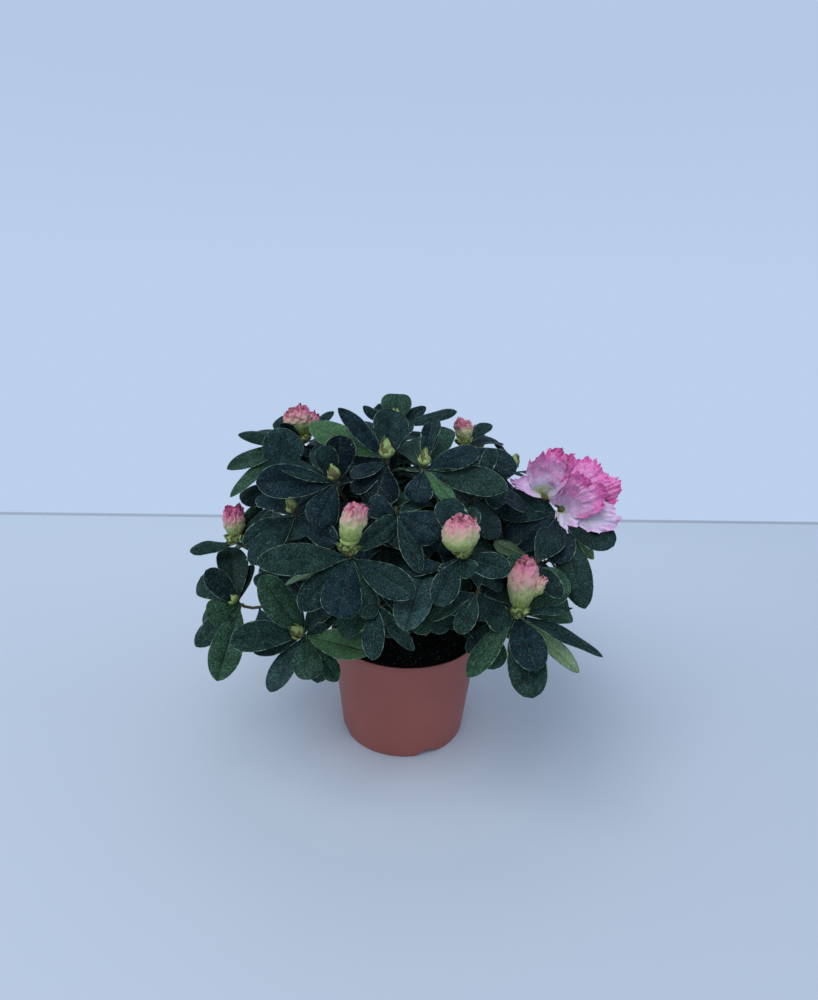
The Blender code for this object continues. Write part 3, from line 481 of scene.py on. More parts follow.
def tube_frames(points):
    """Two directions square to a path at each of its points, carried along it without a twist."""
    side = (points[1] - points[0]).orthogonal()
    for i in range(len(points)):
        ahead = (points[min(i + 1, len(points) - 1)] - points[max(i - 1, 0)]).normalized()
        side = (side - ahead * side.dot(ahead)).normalized()
        yield side, ahead.cross(side)


def tube_shape(points, radii, sides):
    """The points and faces of a tapering tube, closed at both ends."""
    spots = []
    for point, radius, pair in zip(points, radii, tube_frames(points)):
        spots += [point + way_round(pair, k * math.tau / sides) * radius for k in range(sides)]
    faces = [(low + (k - 1) % sides, low + k, low + k + sides, low + (k - 1) % sides + sides)
             for low in range(0, len(spots) - sides, sides) for k in range(sides)]
    return spots, faces + [tuple(range(sides)), tuple(range(len(spots) - sides, len(spots)))]


def stem_point(share):
    """A point on the stem's axis by its share of the height."""
    return UP * STEM_FOOT + UP * STEM_HEIGHT * share + STEM_LEAN * share ** STEM_BEND


def stem_radius(share):
    """The stem's radius at a share of its height."""
    for (low, wide), (high, narrow) in zip(STEM_FLARE, STEM_FLARE[1:]):
        if share <= high:
            break
    return mix((wide, narrow), (share - low) / (high - low)) * MM


def dome_point(way):
    """Where a direction from the crown's centre meets the dome."""
    stretched = Vector(w / s for w, s in zip(way, CROWN_SEMI))
    return CROWN_CENTRE + way / stretched.length


def hub_of(mass):
    """The point where a mass's bough ends."""
    return stem_point(1).lerp(dome_point(heading(mass.bearing, mass.rise)), HUB_SHARE)


def hub_way(mass):
    """The way a mass's bough points where it ends."""
    return (hub_of(mass) - stem_point(0.5)).normalized()


def bough_path(mass, count):
    """The points of a bough, from just clear of the stem to its hub."""
    if mass.root == 1:
        start = stem_point(1) + UP * GAP
        start_way = UP
    else:
        start_way = heading(mass.bearing, BOUGH_START_DEG)
        reach = stem_radius(mass.root) + GAP + BOUGH_RADII[0] * CAP_CLEAR
        start = stem_point(mass.root) + heading(mass.bearing, 0) * reach
    return bent_path(start, start_way, hub_of(mass), hub_way(mass), count)


def new_shoot(tip, bears, scale, leaves):
    """A shoot that points up and away from the crown's heart, on the mass whose direction is the closest."""
    fork = stem_point(1)
    way = (tip - fork).normalized()
    mass = max(MASSES, key=lambda mass: (hub_of(mass) - fork).normalized().dot(way)).name
    axis = ((tip - HEART).normalized() + UP * SHOOT_RISE).normalized()
    return Shoot(mass, tip, axis, bears, scale, leaves)


def spread_tip(step, sines, share, depth):
    """A place in the dome: golden turns round it, a share of the way between two heights, a depth out."""
    rise = math.degrees(math.asin(mix(sines, share)))
    return CROWN_CENTRE.lerp(dome_point(heading(math.degrees(step * GOLDEN), rise)), depth)


def nearest_shoot(tip, shoots):
    """How far a place is from the closest shoot's tip."""
    return min((tip - other.tip).length for other in shoots)


def spiral(phase, lengths, count, scale=1):
    """The turn and length of each leaf of a whorl, oldest first."""
    return [(phase + math.degrees(k * GOLDEN), scale * length)
            for k, length in enumerate(taper(lengths, count))]


def grow_shoots(dice):
    """Lists the main shoots and the filler shoots that make up the rest of the dome."""
    shoots = []
    for tip, bears, scale, leaves in MAIN_SHOOTS:
        leaves = [(turn, length * MM) for turn, length in leaves]
        shoots.append(new_shoot(Vector(tip) * MM, bears, scale, leaves))
    sines = [math.sin(math.radians(rise)) for rise in (FILL_TOP_DEG, FILL_LOW_DEG)]
    for i in range(FILL_COUNT):
        tip = spread_tip(i, sines, i / (FILL_COUNT - 1), dice.uniform(*FILL_DEPTHS))
        phase, scale = dice.uniform(0, FULL_TURN), dice.uniform(*FILL_SCALES)
        if nearest_shoot(tip, shoots) >= FILL_CLEAR and tip.y >= FILL_BEHIND:
            bears = FILL_BUDS[len(shoots) % len(FILL_BUDS)]
            shoots.append(new_shoot(tip, bears, scale, spiral(phase, FILL_LENGTHS, FILL_LEAVES, scale)))
    return shoots


def twig_path(shoot, count):
    """The points of a shoot's twig, from the end of its mass's stem to its tip."""
    mass = next(mass for mass in MASSES if mass.name == shoot.mass)
    start = hub_of(mass) + hub_way(mass) * (STEMLET - TWIG_RADII[0])
    return bent_path(start, hub_way(mass), shoot.tip, shoot.axis, count)


def point_behind(path, back):
    """The point of a path that lies a distance back from its end."""
    for near, far in zip(reversed(path), list(reversed(path))[1:]):
        run = (far - near).length
        if back <= run:
            return near.lerp(far, back / run)
        back -= run
    return path[0]


def leaf_blade(shoot, root, age, turn, lift, length):
    """Places a leaf of an age at a point of a twig by its turn round the shoot and its lift, in degrees."""
    side = way_round(axis_frame(shoot.axis), math.radians(turn))
    lift = math.radians(lift)
    along = way_round((side, shoot.axis), lift)
    face = shoot.axis * math.cos(lift) - side * math.sin(lift)
    return Blade(root, along, face, length, length * LEAF_WIDTH, math.radians(mix(LEAF_BENDS, 1 - age)))


def bent_point(blade, turn):
    """The point on a blade's middle line where it has bent by a turn."""
    bow = blade.length / blade.bend
    return blade.root + blade.along * bow * math.sin(turn) - blade.face * bow * (1 - math.cos(turn))


def blade_shape(blade, sections, crest):
    """The points and faces of a blade as the part has it, for finding room."""
    side = blade.along.cross(blade.face)
    spots = []
    for share, spread in sections:
        middle = bent_point(blade, blade.bend * share)
        top = way_round((blade.face, blade.along), blade.bend * share)
        reach = side * blade.width / 2 * spread
        spots += [middle - reach, middle + reach, middle + top * crest * (0.5 + spread / 2)]
    last = len(spots)
    faces = [(low + i, low + (i - 1) % 3, low + 3 + (i - 1) % 3, low + 3 + i)
             for low in range(0, last - 3, 3) for i in range(3)]
    faces += [(last - 3 + i, last - 3 + (i - 1) % 3, last) for i in range(3)]
    return spots + [bent_point(blade, blade.bend)], faces + [(0, 1, 2)]


def ball_shape(around, along):
    """The points and faces of a unit ball."""
    spots = [UP.copy()]
    for i in range(1, along):
        rise = math.pi * i / along
        spots += [Vector((math.sin(rise) * math.cos(turn), math.sin(rise) * math.sin(turn), math.cos(rise)))
                  for turn in (math.tau * k / around for k in range(around))]
    faces = [(0, 1 + (k + 1) % around, 1 + k) for k in range(around)]
    for low in range(1, len(spots) - around, around):
        faces += [(low + k, low + (k + 1) % around, low + around + (k + 1) % around, low + around + k)
                  for k in range(around)]
    low, last = len(spots) - around, len(spots)
    faces += [(low + k, low + (k + 1) % around, last) for k in range(around)]
    return spots + [-UP], faces


def flower_shapes(shoot):
    """What a shoot bears as the part has it, for finding room."""
    if not shoot.bears:
        return []
    if shoot.bears != "bloom":
        length, radius = (size * shoot.scale for size in BUD_SIZES[shoot.bears])
        spots, faces = ball_shape(*BUD_STEPS[shoot.bears])
        turn = shoot.axis.to_track_quat("Z", "Y")
        for spot in spots:
            wide = radius * (1 - BUD_TAPER * spot.z)
            egg = Vector((spot.x * wide, spot.y * wide, spot.z * length / 2))
            spot.xyz = shoot.tip + shoot.axis * length * BUD_SEAT + turn @ egg
        return [(spots, faces)]
    pair = axis_frame(BLOOM_AXIS)
    shapes = []
    for i, lean in enumerate(BLOOM_LEANS):
        side = way_round(pair, i * math.tau / len(BLOOM_LEANS))
        along, face = leaning(BLOOM_AXIS, side, math.radians(lean))
        petal = Blade(shoot.tip - along * PETAL_SINK, along, face, BLOOM_LENGTH, BLOOM_LENGTH * PETAL_WIDTH,
                      math.radians(PETAL_BEND))
        shapes.append(blade_shape(petal, PETAL_SECTIONS, PETAL_CREST))
    radius, height = BLOOM_DOME
    spots, faces = ball_shape(*BLOOM_STEPS)
    for spot in spots:
        wide = radius * (1 + BLOOM_FRILL * math.cos(BLOOM_RUFFLES * math.atan2(spot.y, spot.x)))
        spot.xyz = (shoot.tip + pair[0] * spot.x * wide + pair[1] * spot.y * wide
                    + BLOOM_AXIS * height * (1 + spot.z))
    return shapes + [(spots, faces)]


def piece_of(mass, shoot, shape, outer=None):
    """Records a piece that later ones keep clear of."""
    spots = shape[0]
    centre = sum(spots, Vector()) / len(spots)
    reach = max((spot - centre).length for spot in spots)
    tree = BVHTree.FromPolygons(*shape)
    return Piece(mass, shoot, tree, BVHTree.FromPolygons(*outer) if outer else tree, centre, reach)


def leaf_piece(mass, shoot, blade, crest):
    """Records a leaf, its outer part without the foot that may touch the leaves beside it."""
    whole, outer = (blade_shape(blade, sections, crest) for sections in (LEAF_SECTIONS, LEAF_SECTIONS[1:]))
    return piece_of(mass, shoot, whole, outer)


def has_room(piece, placed):
    """Tells whether a piece is wholly clear of other masses, and its outer part clear of its own."""
    for other in placed:
        if (other.centre - piece.centre).length > other.reach + piece.reach:
            continue
        if other.mass != piece.mass:
            if piece.tree.overlap(other.tree):
                return False
        elif other.shoot != piece.shoot or other.outer_tree is not other.tree:
            if piece.outer_tree.overlap(other.outer_tree):
                return False
    return True


def grow_leaf(crown, number, root, age, turn, lift, length, kind, crest):
    """Tries a leaf at each turn, lift and length until it has room. It is left out of an open place."""
    shoot = crown.shoots[number]
    for more_turn, more_lift, share in TRIES:
        blade = leaf_blade(shoot, root, age, turn + more_turn, lift + more_lift, length * share)
        piece = leaf_piece(shoot.mass, number, blade, crest)
        if has_room(piece, crown.placed):
            crown.placed.append(piece)
            if keeps_open(blade):
                crown.leaves.append(Leaf(blade, number, kind, None))
            break


def place_crown():
    """Finds the twigs, flowers and leaves of the whole crown: the part's own first, then the added ones."""
    dice = random.Random(SEED)
    shoots = grow_shoots(dice)
    stem = tube_shape([stem_point(share) for share, radius in STEM_FLARE],
                      [radius * MM for share, radius in STEM_FLARE], LIMB_SIDES)
    placed = [piece_of("limbs", "main_stem", stem)]
    for mass in MASSES:
        bough = tube_shape(bough_path(mass, BOUGH_POINTS), taper(BOUGH_RADII, BOUGH_POINTS), LIMB_SIDES)
        placed.append(piece_of("limbs", f"bough_{mass.name}", bough))
        hub, way = hub_of(mass), hub_way(mass)
        stemlet = tube_shape([hub + way * GAP, hub + way * STEMLET], STEMLET_RADII, TWIG_SIDES)
        placed.append(piece_of(mass.name, "stem", stemlet))
    paths = [twig_path(shoot, TWIG_POINTS) for shoot in shoots]
    for number, shoot in enumerate(shoots):
        twig = tube_shape(paths[number], taper(TWIG_RADII, TWIG_POINTS), TWIG_SIDES)
        placed += [piece_of(shoot.mass, number, shape) for shape in (twig, *flower_shapes(shoot))]
    crown = Crown(shoots, placed, [])
    for number, *seen, tint in SEEN_LEAVES:
        shoot = shoots[number]
        back = SEEN_BACKS[seen[2] < 0]
        blade = seen_blade(point_behind(twig_path(shoot, FINE_POINTS), back), seen)
        placed.append(leaf_piece(shoot.mass, number, blade, FINE_CREST))
        crown.leaves.append(Leaf(blade, number, "seen", tint))
    for number, shoot in enumerate(shoots):
        for k, (turn, length) in enumerate(shoot.leaves):
            age = k / (len(shoot.leaves) - 1)
            lift = mix(LEAF_LIFTS, age) + dice.uniform(-LEAF_STRAY, LEAF_STRAY)
            root = point_behind(paths[number], mix(LEAF_BACKS, age))
            far = leaf_blade(shoot, root, age, turn, lift, length).along.y >= FAR_LEAF
            if far or number >= len(MAIN_SHOOTS):
                grow_leaf(crown, number, root, age, turn, lift, length, "whorl", PROBE_CREST)
    add_inner(crown)
    return shoots, crown.leaves


def add_inner(crown):
    """Adds an inner layer of short leafy shoots, and older leaves behind every whorl."""
    dice = random.Random(SEED + 1)
    outer_count = len(crown.shoots)
    for i in range(INNER_COUNT):
        tip = spread_tip(i + 0.5, INNER_SINES, i / (INNER_COUNT - 1), dice.uniform(*INNER_DEPTHS))
        phase = dice.uniform(0, FULL_TURN)
        if nearest_shoot(tip, crown.shoots) >= INNER_CLEAR:
            crown.shoots.append(new_shoot(tip, "", 1, spiral(phase, INNER_LENGTHS, FILL_LEAVES)))
    for number, shoot in enumerate(crown.shoots):
        path = twig_path(shoot, FINE_POINTS)
        rows = []
        if number >= outer_count:
            ages = taper((0, 1), FILL_LEAVES)
            rows += [(mix(LEAF_BACKS, age), age, turn, mix(LEAF_LIFTS, age), length, "inner")
                     for age, (turn, length) in zip(ages, shoot.leaves)]
        old = spiral(dice.uniform(0, FULL_TURN), OLD_LENGTHS, OLD_LEAVES)
        steps = zip(taper(OLD_BACKS, OLD_LEAVES), taper(OLD_LIFTS, OLD_LEAVES), old)
        rows += [(back, 0, turn, lift, length, "old") for back, lift, (turn, length) in steps]
        for back, *row in rows:
            grow_leaf(crown, number, point_behind(path, back), *row, FINE_CREST)


# ---------------------------------------------------------------- what is seen in the photograph
def camera_frame():
    """The camera's place and its ahead, right and up directions."""
    pitch, roll, pan = (math.radians(value) for value in (CAMERA_PITCH, CAMERA_ROLL, CAMERA_PAN))
    ahead = Vector((math.sin(pan) * math.cos(pitch), math.cos(pan) * math.cos(pitch), -math.sin(pitch)))
    across = Vector((math.cos(pan), -math.sin(pan), 0))
    above = across.cross(ahead)
    return (Vector((0, -CAMERA_BACK, CAMERA_HEIGHT)), ahead, way_round((across, above), roll),
            above * math.cos(roll) - across * math.sin(roll))


EYE, AHEAD, ACROSS, ABOVE = camera_frame()


def seen_run(root, u, v, stretch):
    """The way and reach from a root to a point of the image, leaning to the camera or away by a stretch."""
    way = AHEAD * FOCUS + ACROSS * (u - IMAGE_SIZE[0] / 2) - ABOVE * (v - IMAGE_SIZE[1] / 2)
    way.normalize()
    closest = EYE + way * (root - EYE).dot(way)
    reach = (closest - root).length
    slack = reach * math.sqrt(stretch ** 2 - 1)
    return (closest - way * math.copysign(slack, stretch) - root).normalized(), reach * abs(stretch)


def seen_width(root, pixels):
    """The true size of something seen that many pixels wide beside a point."""
    return pixels * (root - EYE).dot(AHEAD) / FOCUS


def seen_blade(root, seen):
    """Places a leaf or a petal on its root so that its tip is seen at a point of the image."""
    u, v, stretch, roll, wide = seen
    half = math.radians(SEEN_BEND) / 2
    run, reach = seen_run(root, u, v, stretch)
    face = EYE - root
    face = (face - run * face.dot(run)).normalized()
    rise = UP - run * UP.dot(run)
    if rise.length < UPRIGHT_RUN:
        rise = RIGHT - run * RIGHT.dot(run)
    sense = math.copysign(1, run.dot(face.cross(rise)))
    face = Matrix.Rotation(math.radians(roll) * sense, 3, run) @ face
    width = seen_width(root, wide) / max(SEEN_EDGE, abs(math.cos(math.radians(roll))))
    return Blade(root, way_round((run, face), half), face * math.cos(half) - run * math.sin(half),
                 reach * half / math.sin(half), width, 2 * half)


def keeps_open(blade):
    """Tells whether a leaf stays out of the places that are left open to the camera."""
    for spot in blade_shape(blade, VIEW_SECTIONS, 0)[0]:
        way = spot - EYE
        u = IMAGE_SIZE[0] / 2 + FOCUS * way.dot(ACROSS) / way.dot(AHEAD)
        v = IMAGE_SIZE[1] / 2 - FOCUS * way.dot(ABOVE) / way.dot(AHEAD)
        if any(left < u < right and high < v < low for left, high, right, low in OPEN_VIEWS):
            return False
    return True


# ---------------------------------------------------------------- meshes from patches
def put(name, data):
    """Puts an object in the scene."""
    obj = bpy.data.objects.new(name, data)
    bpy.context.scene.collection.objects.link(obj)
    return obj


class Sheaf:
    """Collects patches that become one mesh, with a slot for each face and a value for each point."""

    def __init__(self):
        """Starts with no patches."""
        self.spots, self.faces, self.slots, self.values = [], [], [], []
        self.count = 0

    def add(self, spots, faces, slot=0, values=0.0):
        """Adds points (n, 3) and faces that count from this patch's first point."""
        self.spots.append(np.reshape(spots, (-1, 3)))
        self.faces += (np.asarray(faces) + self.count).tolist()
        self.slots += np.broadcast_to(slot, len(faces)).tolist()
        self.count += len(self.spots[-1])
        self.values.append(np.broadcast_to(np.ravel(values), len(self.spots[-1])))

    def grid(self, spots, slot=0, values=0.0, flip=False):
        """Adds a sheet of points (rows, columns, 3). Slots and values may differ over it."""
        rows, columns = spots.shape[:2]
        index = np.arange(rows * columns).reshape(rows, columns)
        quads = np.stack([index[:-1, :-1], index[:-1, 1:], index[1:, 1:], index[1:, :-1]], -1)
        if flip:
            quads = quads[..., ::-1]
        slots = np.broadcast_to(slot, (rows - 1, columns - 1)).ravel()
        self.add(spots, quads.reshape(-1, 4), slots, np.broadcast_to(values, (rows, columns)))

    def make(self, name, materials, value_name=""):
        """Makes the mesh object, shaded smooth."""
        data = bpy.data.meshes.new(name)
        data.from_pydata(np.concatenate(self.spots).tolist(), [], self.faces)
        data.polygons.foreach_set("material_index", self.slots)
        data.polygons.foreach_set("use_smooth", [True] * len(self.faces))
        for material in materials:
            data.materials.append(material)
        if value_name:
            attribute = data.attributes.new(value_name, "FLOAT", "POINT")
            attribute.data.foreach_set("value", np.concatenate(self.values))
        data.update()
        return put(name, data)


def bent_sheet(blade, turn):
    """Points on a blade's middle line at each turn of its bend, the way across it and the way up."""
    bow = blade.length / blade.bend
    along, face = np.array(blade.along), np.array(blade.face)
    turn = turn[..., None]
    middle = np.array(blade.root) + (along * bow * np.sin(turn) - face * bow * (1 - np.cos(turn)))
    return middle, np.cross(along, face), face * np.cos(turn) + along * np.sin(turn)


def leaf_sheet(blade, dice, rows, columns):
    """Points on the leaf's upper side, the ways up and out at each, and its shares along and across."""
    t = np.linspace(0, 1, rows)[:, None]
    t = 0.6 * t + 0.4 * (1 - np.cos(np.pi * t)) / 2
    s = np.array(columns, float)[None, :]
    u = np.clip((t - STALK_SHARE) / (1 - STALK_SHARE), 0, 1)
    bulge = dice.uniform(1.3, 2.0)
    point = min(0.7, max(0.48, 0.92 - 0.85 * blade.width / blade.length)) + dice.uniform(-0.03, 0.05)
    widest = (0.9 / (0.9 + point * bulge)) ** (1 / bulge)
    half = u ** 0.9 * (1 - u ** bulge) ** point / (widest ** 0.9 * (1 - widest ** bulge) ** point)
    half = np.maximum(half, np.where(t < 0.5, STALK_WIDTH, 0.03)) * blade.width / 2
    phase = dice.uniform(0, math.tau)
    half = half * (1 + 0.025 * np.sin(9 * t + phase))
    x = s * half + 0.04 * blade.width * np.sin(2.6 * t + phase) * t
    twist = dice.uniform(-0.4, 0.4) * t[..., None]
    fold = dice.uniform(-0.10, 0.38)
    roll = dice.uniform(0.0, 0.30)
    wave = dice.uniform(0.2, 1.0) * MM
    body = np.clip(half / (blade.width / 2), 0, 1)
    veins = np.abs(np.sin(np.pi * (VEINS * (t - 0.22 * np.abs(s) * body) + 0.3))) ** 0.7
    z = fold * np.abs(x) - roll * np.abs(s) ** 3 * half
    z = z + VEIN_DEPTH * veins * (1 - s ** 4) * body * (np.abs(s) > 0.1)
    z = z - GROOVE_DEPTH * np.exp(-(x / (0.9 * MM)) ** 2) * body
    z = z + wave * np.sin(11 * t + phase + 0.8 * np.sign(s)) * s ** 2 * body
    middle, side, top = bent_sheet(blade, blade.bend * t)
    out = side * np.cos(twist) + top * np.sin(twist)
    top = top * np.cos(twist) - side * np.sin(twist)
    return middle + out * x[..., None] + top * z[..., None], top, out, t, s


def add_leaf(sheaf, blade, dice, slots):
    """Adds one leaf: its upper side and midrib, its under side, and the pale hairs round its margin."""
    top_slot, under_slot, rib_slot, margin_slot = slots
    upper, top, out, t, s = leaf_sheet(blade, dice, LEAF_ROWS, LEAF_COLUMNS)
    sheaf.grid(upper, [rib_slot if i == MIDRIB_COLUMN else top_slot for i in range(len(LEAF_COLUMNS) - 1)])
    thick = LEAF_THICK * (1 + 1.6 * np.exp(-t * 18)) * (1 - 0.98 * s ** 2)
    keel = LEAF_THICK * np.exp(-(s / 0.12) ** 2) * (1 - t)
    under = upper - top * (thick + keel)[..., None]
    sheaf.grid(under[::2][:, UNDER_COLUMNS], under_slot, flip=True)
    for column, sign in ((0, -1), (-1, 1)):
        edge = upper[:, column]
        away = out[:, 0] * sign
        rim = edge + away * 0.22 * MM - top[:, 0] * 0.12 * MM
        sheaf.grid(np.stack([edge, rim], 1), margin_slot)
        count = (LEAF_ROWS - 2) * HAIRS_PER_ROW
        last = LEAF_ROWS - 1.001
        place = np.linspace(1.4, last, count) + [dice.uniform(-0.2, 0.1) for _ in range(count)]
        place = np.clip(place, 0, last)
        low = place.astype(int)
        share = (place - low)[:, None]
        base = edge[low] * (1 - share) + edge[low + 1] * share
        ahead = edge[low + 1] - edge[low]
        ahead /= np.linalg.norm(ahead, axis=1)[:, None]
        length = np.array([dice.uniform(0.5, 1.0) for _ in range(count)])[:, None] * HAIR_LENGTH
        point = base + (away[low] * 0.8 + ahead * 0.5 + top[low, 0] * 0.2) * length
        corners = np.stack([base - ahead * HAIR_WIDTH / 2, base + ahead * HAIR_WIDTH / 2, point], 1)
        sheaf.add(corners, np.arange(count * 3).reshape(-1, 3), margin_slot)


def add_tube(sheaf, points, radii, sides, slot=0, relief=0.0, grain=900.0):
    """Adds a round tube with a rough skin, closed by a point at each end."""
    rings = [[points[0]] * (sides + 1)]
    for point, radius, pair in zip(points, radii, tube_frames(points)):
        ring = []
        for k in range(sides):
            way = way_round(pair, k * math.tau / sides)
            ring.append(point + way * (radius + relief * noise.noise(way * 2 + point * grain)))
        rings.append(ring + ring[:1])
    rings.append([points[-1]] * (sides + 1))
    sheaf.grid(np.array(rings, float), slot)


def add_lump(sheaf, centre, size, dice, slot):
    """Adds a small rough lump with eight flat-sided faces, turned at random."""
    angle = dice.uniform(0, math.tau)
    axis = Vector([dice.gauss(0, 1) for _ in range(3)]).normalized()
    turn = Matrix.Rotation(angle, 3, axis)
    spots = [centre + turn @ (Vector(way) * size * dice.uniform(0.6, 1.15))
             for way in ((1, 0, 0), (0, 1, 0), (-1, 0, 0), (0, -1, 0), (0, 0, 1), (0, 0, -1))]
    faces = [(0, 1, 4), (1, 2, 4), (2, 3, 4), (3, 0, 4), (1, 0, 5), (2, 1, 5), (3, 2, 5), (0, 3, 5)]
    sheaf.add(spots, faces, slot)


# ---------------------------------------------------------------- flowers
def add_scale(sheaf, base, axis, side, radius, length, span, slot, open_out=0.0):
    """Adds a pointed scale that wraps a bud: side is the way it faces from the bud's axis."""
    t = np.linspace(0, 1, 7)[:, None]
    s = np.linspace(-1, 1, 5)[None, :]
    angle = s * (np.sin(np.pi * (0.18 + 0.82 * t)) ** 0.7 * span)
    r = radius * (np.sin(np.pi * (0.16 + 0.72 * t)) ** 0.8) + open_out * t ** 2
    pair = np.array(side), np.cross(axis, side)
    spots = np.array(base) + np.array(axis) * (t * length)[..., None] + wrapped(pair, r, angle)
    sheaf.grid(spots, slot, t)


def wrapped(pair, reach, angle):
    """Steps of a reach from an axis at an angle round it, for every point of a sheet."""
    return pair[0] * (reach * np.cos(angle))[..., None] + pair[1] * (reach * np.sin(angle))[..., None]


def add_small_bud(sheaf, base, axis, length, radius, dice, slots):
    """Adds a closed bud: whorls of overlapping pointed scales."""
    pair = axis_frame(axis)
    phase = dice.uniform(0, math.tau)
    for whorl, (start, size, wide, spread) in enumerate(BUD_WHORLS):
        for k in range(5):
            side = way_round(pair, phase + k * math.tau / 5 + whorl * 0.7)
            across = radius * wide * dice.uniform(0.85, 1.08)
            high = length * size * dice.uniform(0.8, 1.15)
            add_scale(sheaf, base + axis * length * start, axis, side, across, high, SCALE_SPAN,
                      slots[(k + whorl) % len(slots)], radius * spread * dice.random())


def crumple(spots, amount, scale):
    """Pushes the points of a sheet about by a noise, by an amount for each point."""
    flat = [noise.noise_vector(Vector(spot) * scale) for spot in spots.reshape(-1, 3)]
    return spots + np.array(flat).reshape(spots.shape) * np.broadcast_to(amount, spots.shape[:2])[..., None]


def add_bud_part(sheaf, base, axis, length, radius, foot, blush, dice, slot):
    """Adds one part of a bud: petals wrapped round each other, plump, and crumpled towards the top."""
    pair = [np.array(way) for way in axis_frame(axis)]
    axis, base = np.array(axis), np.array(base)
    phase = dice.uniform(0, math.tau)
    t = np.linspace(0, 1, 25)[:, None]
    s = np.linspace(-1, 1, 19)[None, :]
    peak = 0.42 + 1.6 * max(0, 0.62 - foot)
    swell = foot + (1 - foot) * np.sin(np.pi / 2 * np.clip(t / peak, 0, 1)) ** 1.2
    close = 0.1 + 0.85 * foot
    swell = swell * (1 - close * np.clip((t - peak) / (1 - peak), 0, 1) ** 2) * np.clip(t * 7, 0, 1) ** 0.5
    crisp = np.clip((t - 0.25) / 0.45, 0, 1)
    for i in range(BUD_PETALS):
        p = dice.uniform(0, math.tau)
        angle = phase + i * math.tau / BUD_PETALS + dice.uniform(-0.2, 0.2) + s * (0.78 + 0.1 * t)
        high = length * dice.uniform(0.84, 1.0)
        r = radius * swell * dice.uniform(0.88, 0.98) * (1 - 0.05 * np.abs(s) ** 3) + (s + 1) * 0.30 * MM * t
        rise = t * high * (1 - 0.14 * np.abs(s) ** 2.2) + crisp ** 3 * 0.6 * np.sin(7 * s + p) * MM
        spots = crumple(base + axis * rise[..., None] + wrapped(pair, r, angle), crisp * 1.5 * MM, 300)
        sheaf.grid(crumple(spots, crisp * 0.9 * MM, 800), slot, t * blush)
    t, s = t[::2], s[:, ::2]
    for i in range(BUD_FOLDS):
        reach = radius * 0.55 * (i / (BUD_FOLDS - 1)) ** 0.7
        high = length * dice.uniform(0.94, 1.04) - reach * (0.15 + foot)
        p = dice.uniform(0, math.tau)
        side = way_round(pair, phase + i * FOLD_TURN)
        wide = radius * 0.44 * (0.75 + 0.25 * np.sin(np.pi * t))
        deep = reach + t * 0.8 * np.sin(5 * s + p) * MM
        rise = (0.5 + 0.5 * t) * high * (1 - 0.05 * s ** 2 * t)
        across = np.cross(axis, side)
        spots = base + axis * rise[..., None] + side * deep[..., None] + across * (s * wide)[..., None]
        sheaf.grid(crumple(spots, t * 1.4 * MM, 500), slot, (0.72 + 0.28 * t) * blush)


def add_pink_bud(sheaf, number, shoot, dice):
    """Adds a bud that shows colour, on green and brown scales, with small side buds round its foot."""
    tip = shoot.tip - shoot.axis * BUD_SINK
    length, radius = (size * shoot.scale for size in BUD_SIZES["pink"])
    parts = []
    for row, u, v, stretch, wide, *rest in SEEN_BUDS:
        if row == number:
            parts.append((*seen_run(tip, u, v, stretch), seen_width(tip, wide) / 2, *rest))
    if not parts:
        for lean, turn, share in BUD_PARTS:
            axis = ((shoot.axis + UP).normalized() + heading(math.degrees(turn), 0) * lean).normalized()
            high = length * dice.uniform(0.94, 1.02)
            parts.append((axis, high, radius * share, BUD_FOOT, BUD_START, BUD_TINT))
    for axis, high, wide, foot, start, blush in parts:
        add_bud_part(sheaf, tip + axis * high * start, axis, high * (1 - start), wide, foot, blush, dice, BUD)
    axis, high, wide, foot, start, blush = parts[0]
    base = tip + axis * high * start
    pair = axis_frame(axis)
    add_tube(sheaf, [tip - axis * 1 * MM, base + axis * 2 * MM], [1.5 * MM, 2.2 * MM], 8, GREEN)
    for i in range(FOOT_SCALES):
        add_scale(sheaf, base - axis * 1.5 * MM, axis, way_round(pair, i * FOLD_TURN), wide * foot * 0.95,
                  high * dice.uniform(0.12, 0.24), SCALE_SPAN, (SCALE, GREEN, GREEN)[i % 3], 0.6 * MM)
    for i in range(SIDE_BUDS):
        side = way_round(pair, -2.5 + i * 0.5 + dice.uniform(-0.2, 0.2))
        way = (axis * dice.uniform(0.1, 0.9) + side).normalized()
        place = tip + side * 1.5 * MM + axis * dice.uniform(-0.04, 0.7 * start) * high
        add_small_bud(sheaf, place, way, dice.uniform(5, 7.5) * MM, dice.uniform(1.9, 2.6) * MM, dice,
                      (GREEN, GREEN, SCALE))


def add_green_bud(sheaf, number, shoot, dice):
    """Adds the closed green bud of a shoot."""
    length, radius = (size * shoot.scale for size in BUD_SIZES["small"])
    add_small_bud(sheaf, shoot.tip - shoot.axis * BUD_SINK, shoot.axis, length * GREEN_GROWTH[0],
                  radius * GREEN_GROWTH[1], dice, (GREEN, GREEN, SCALE))


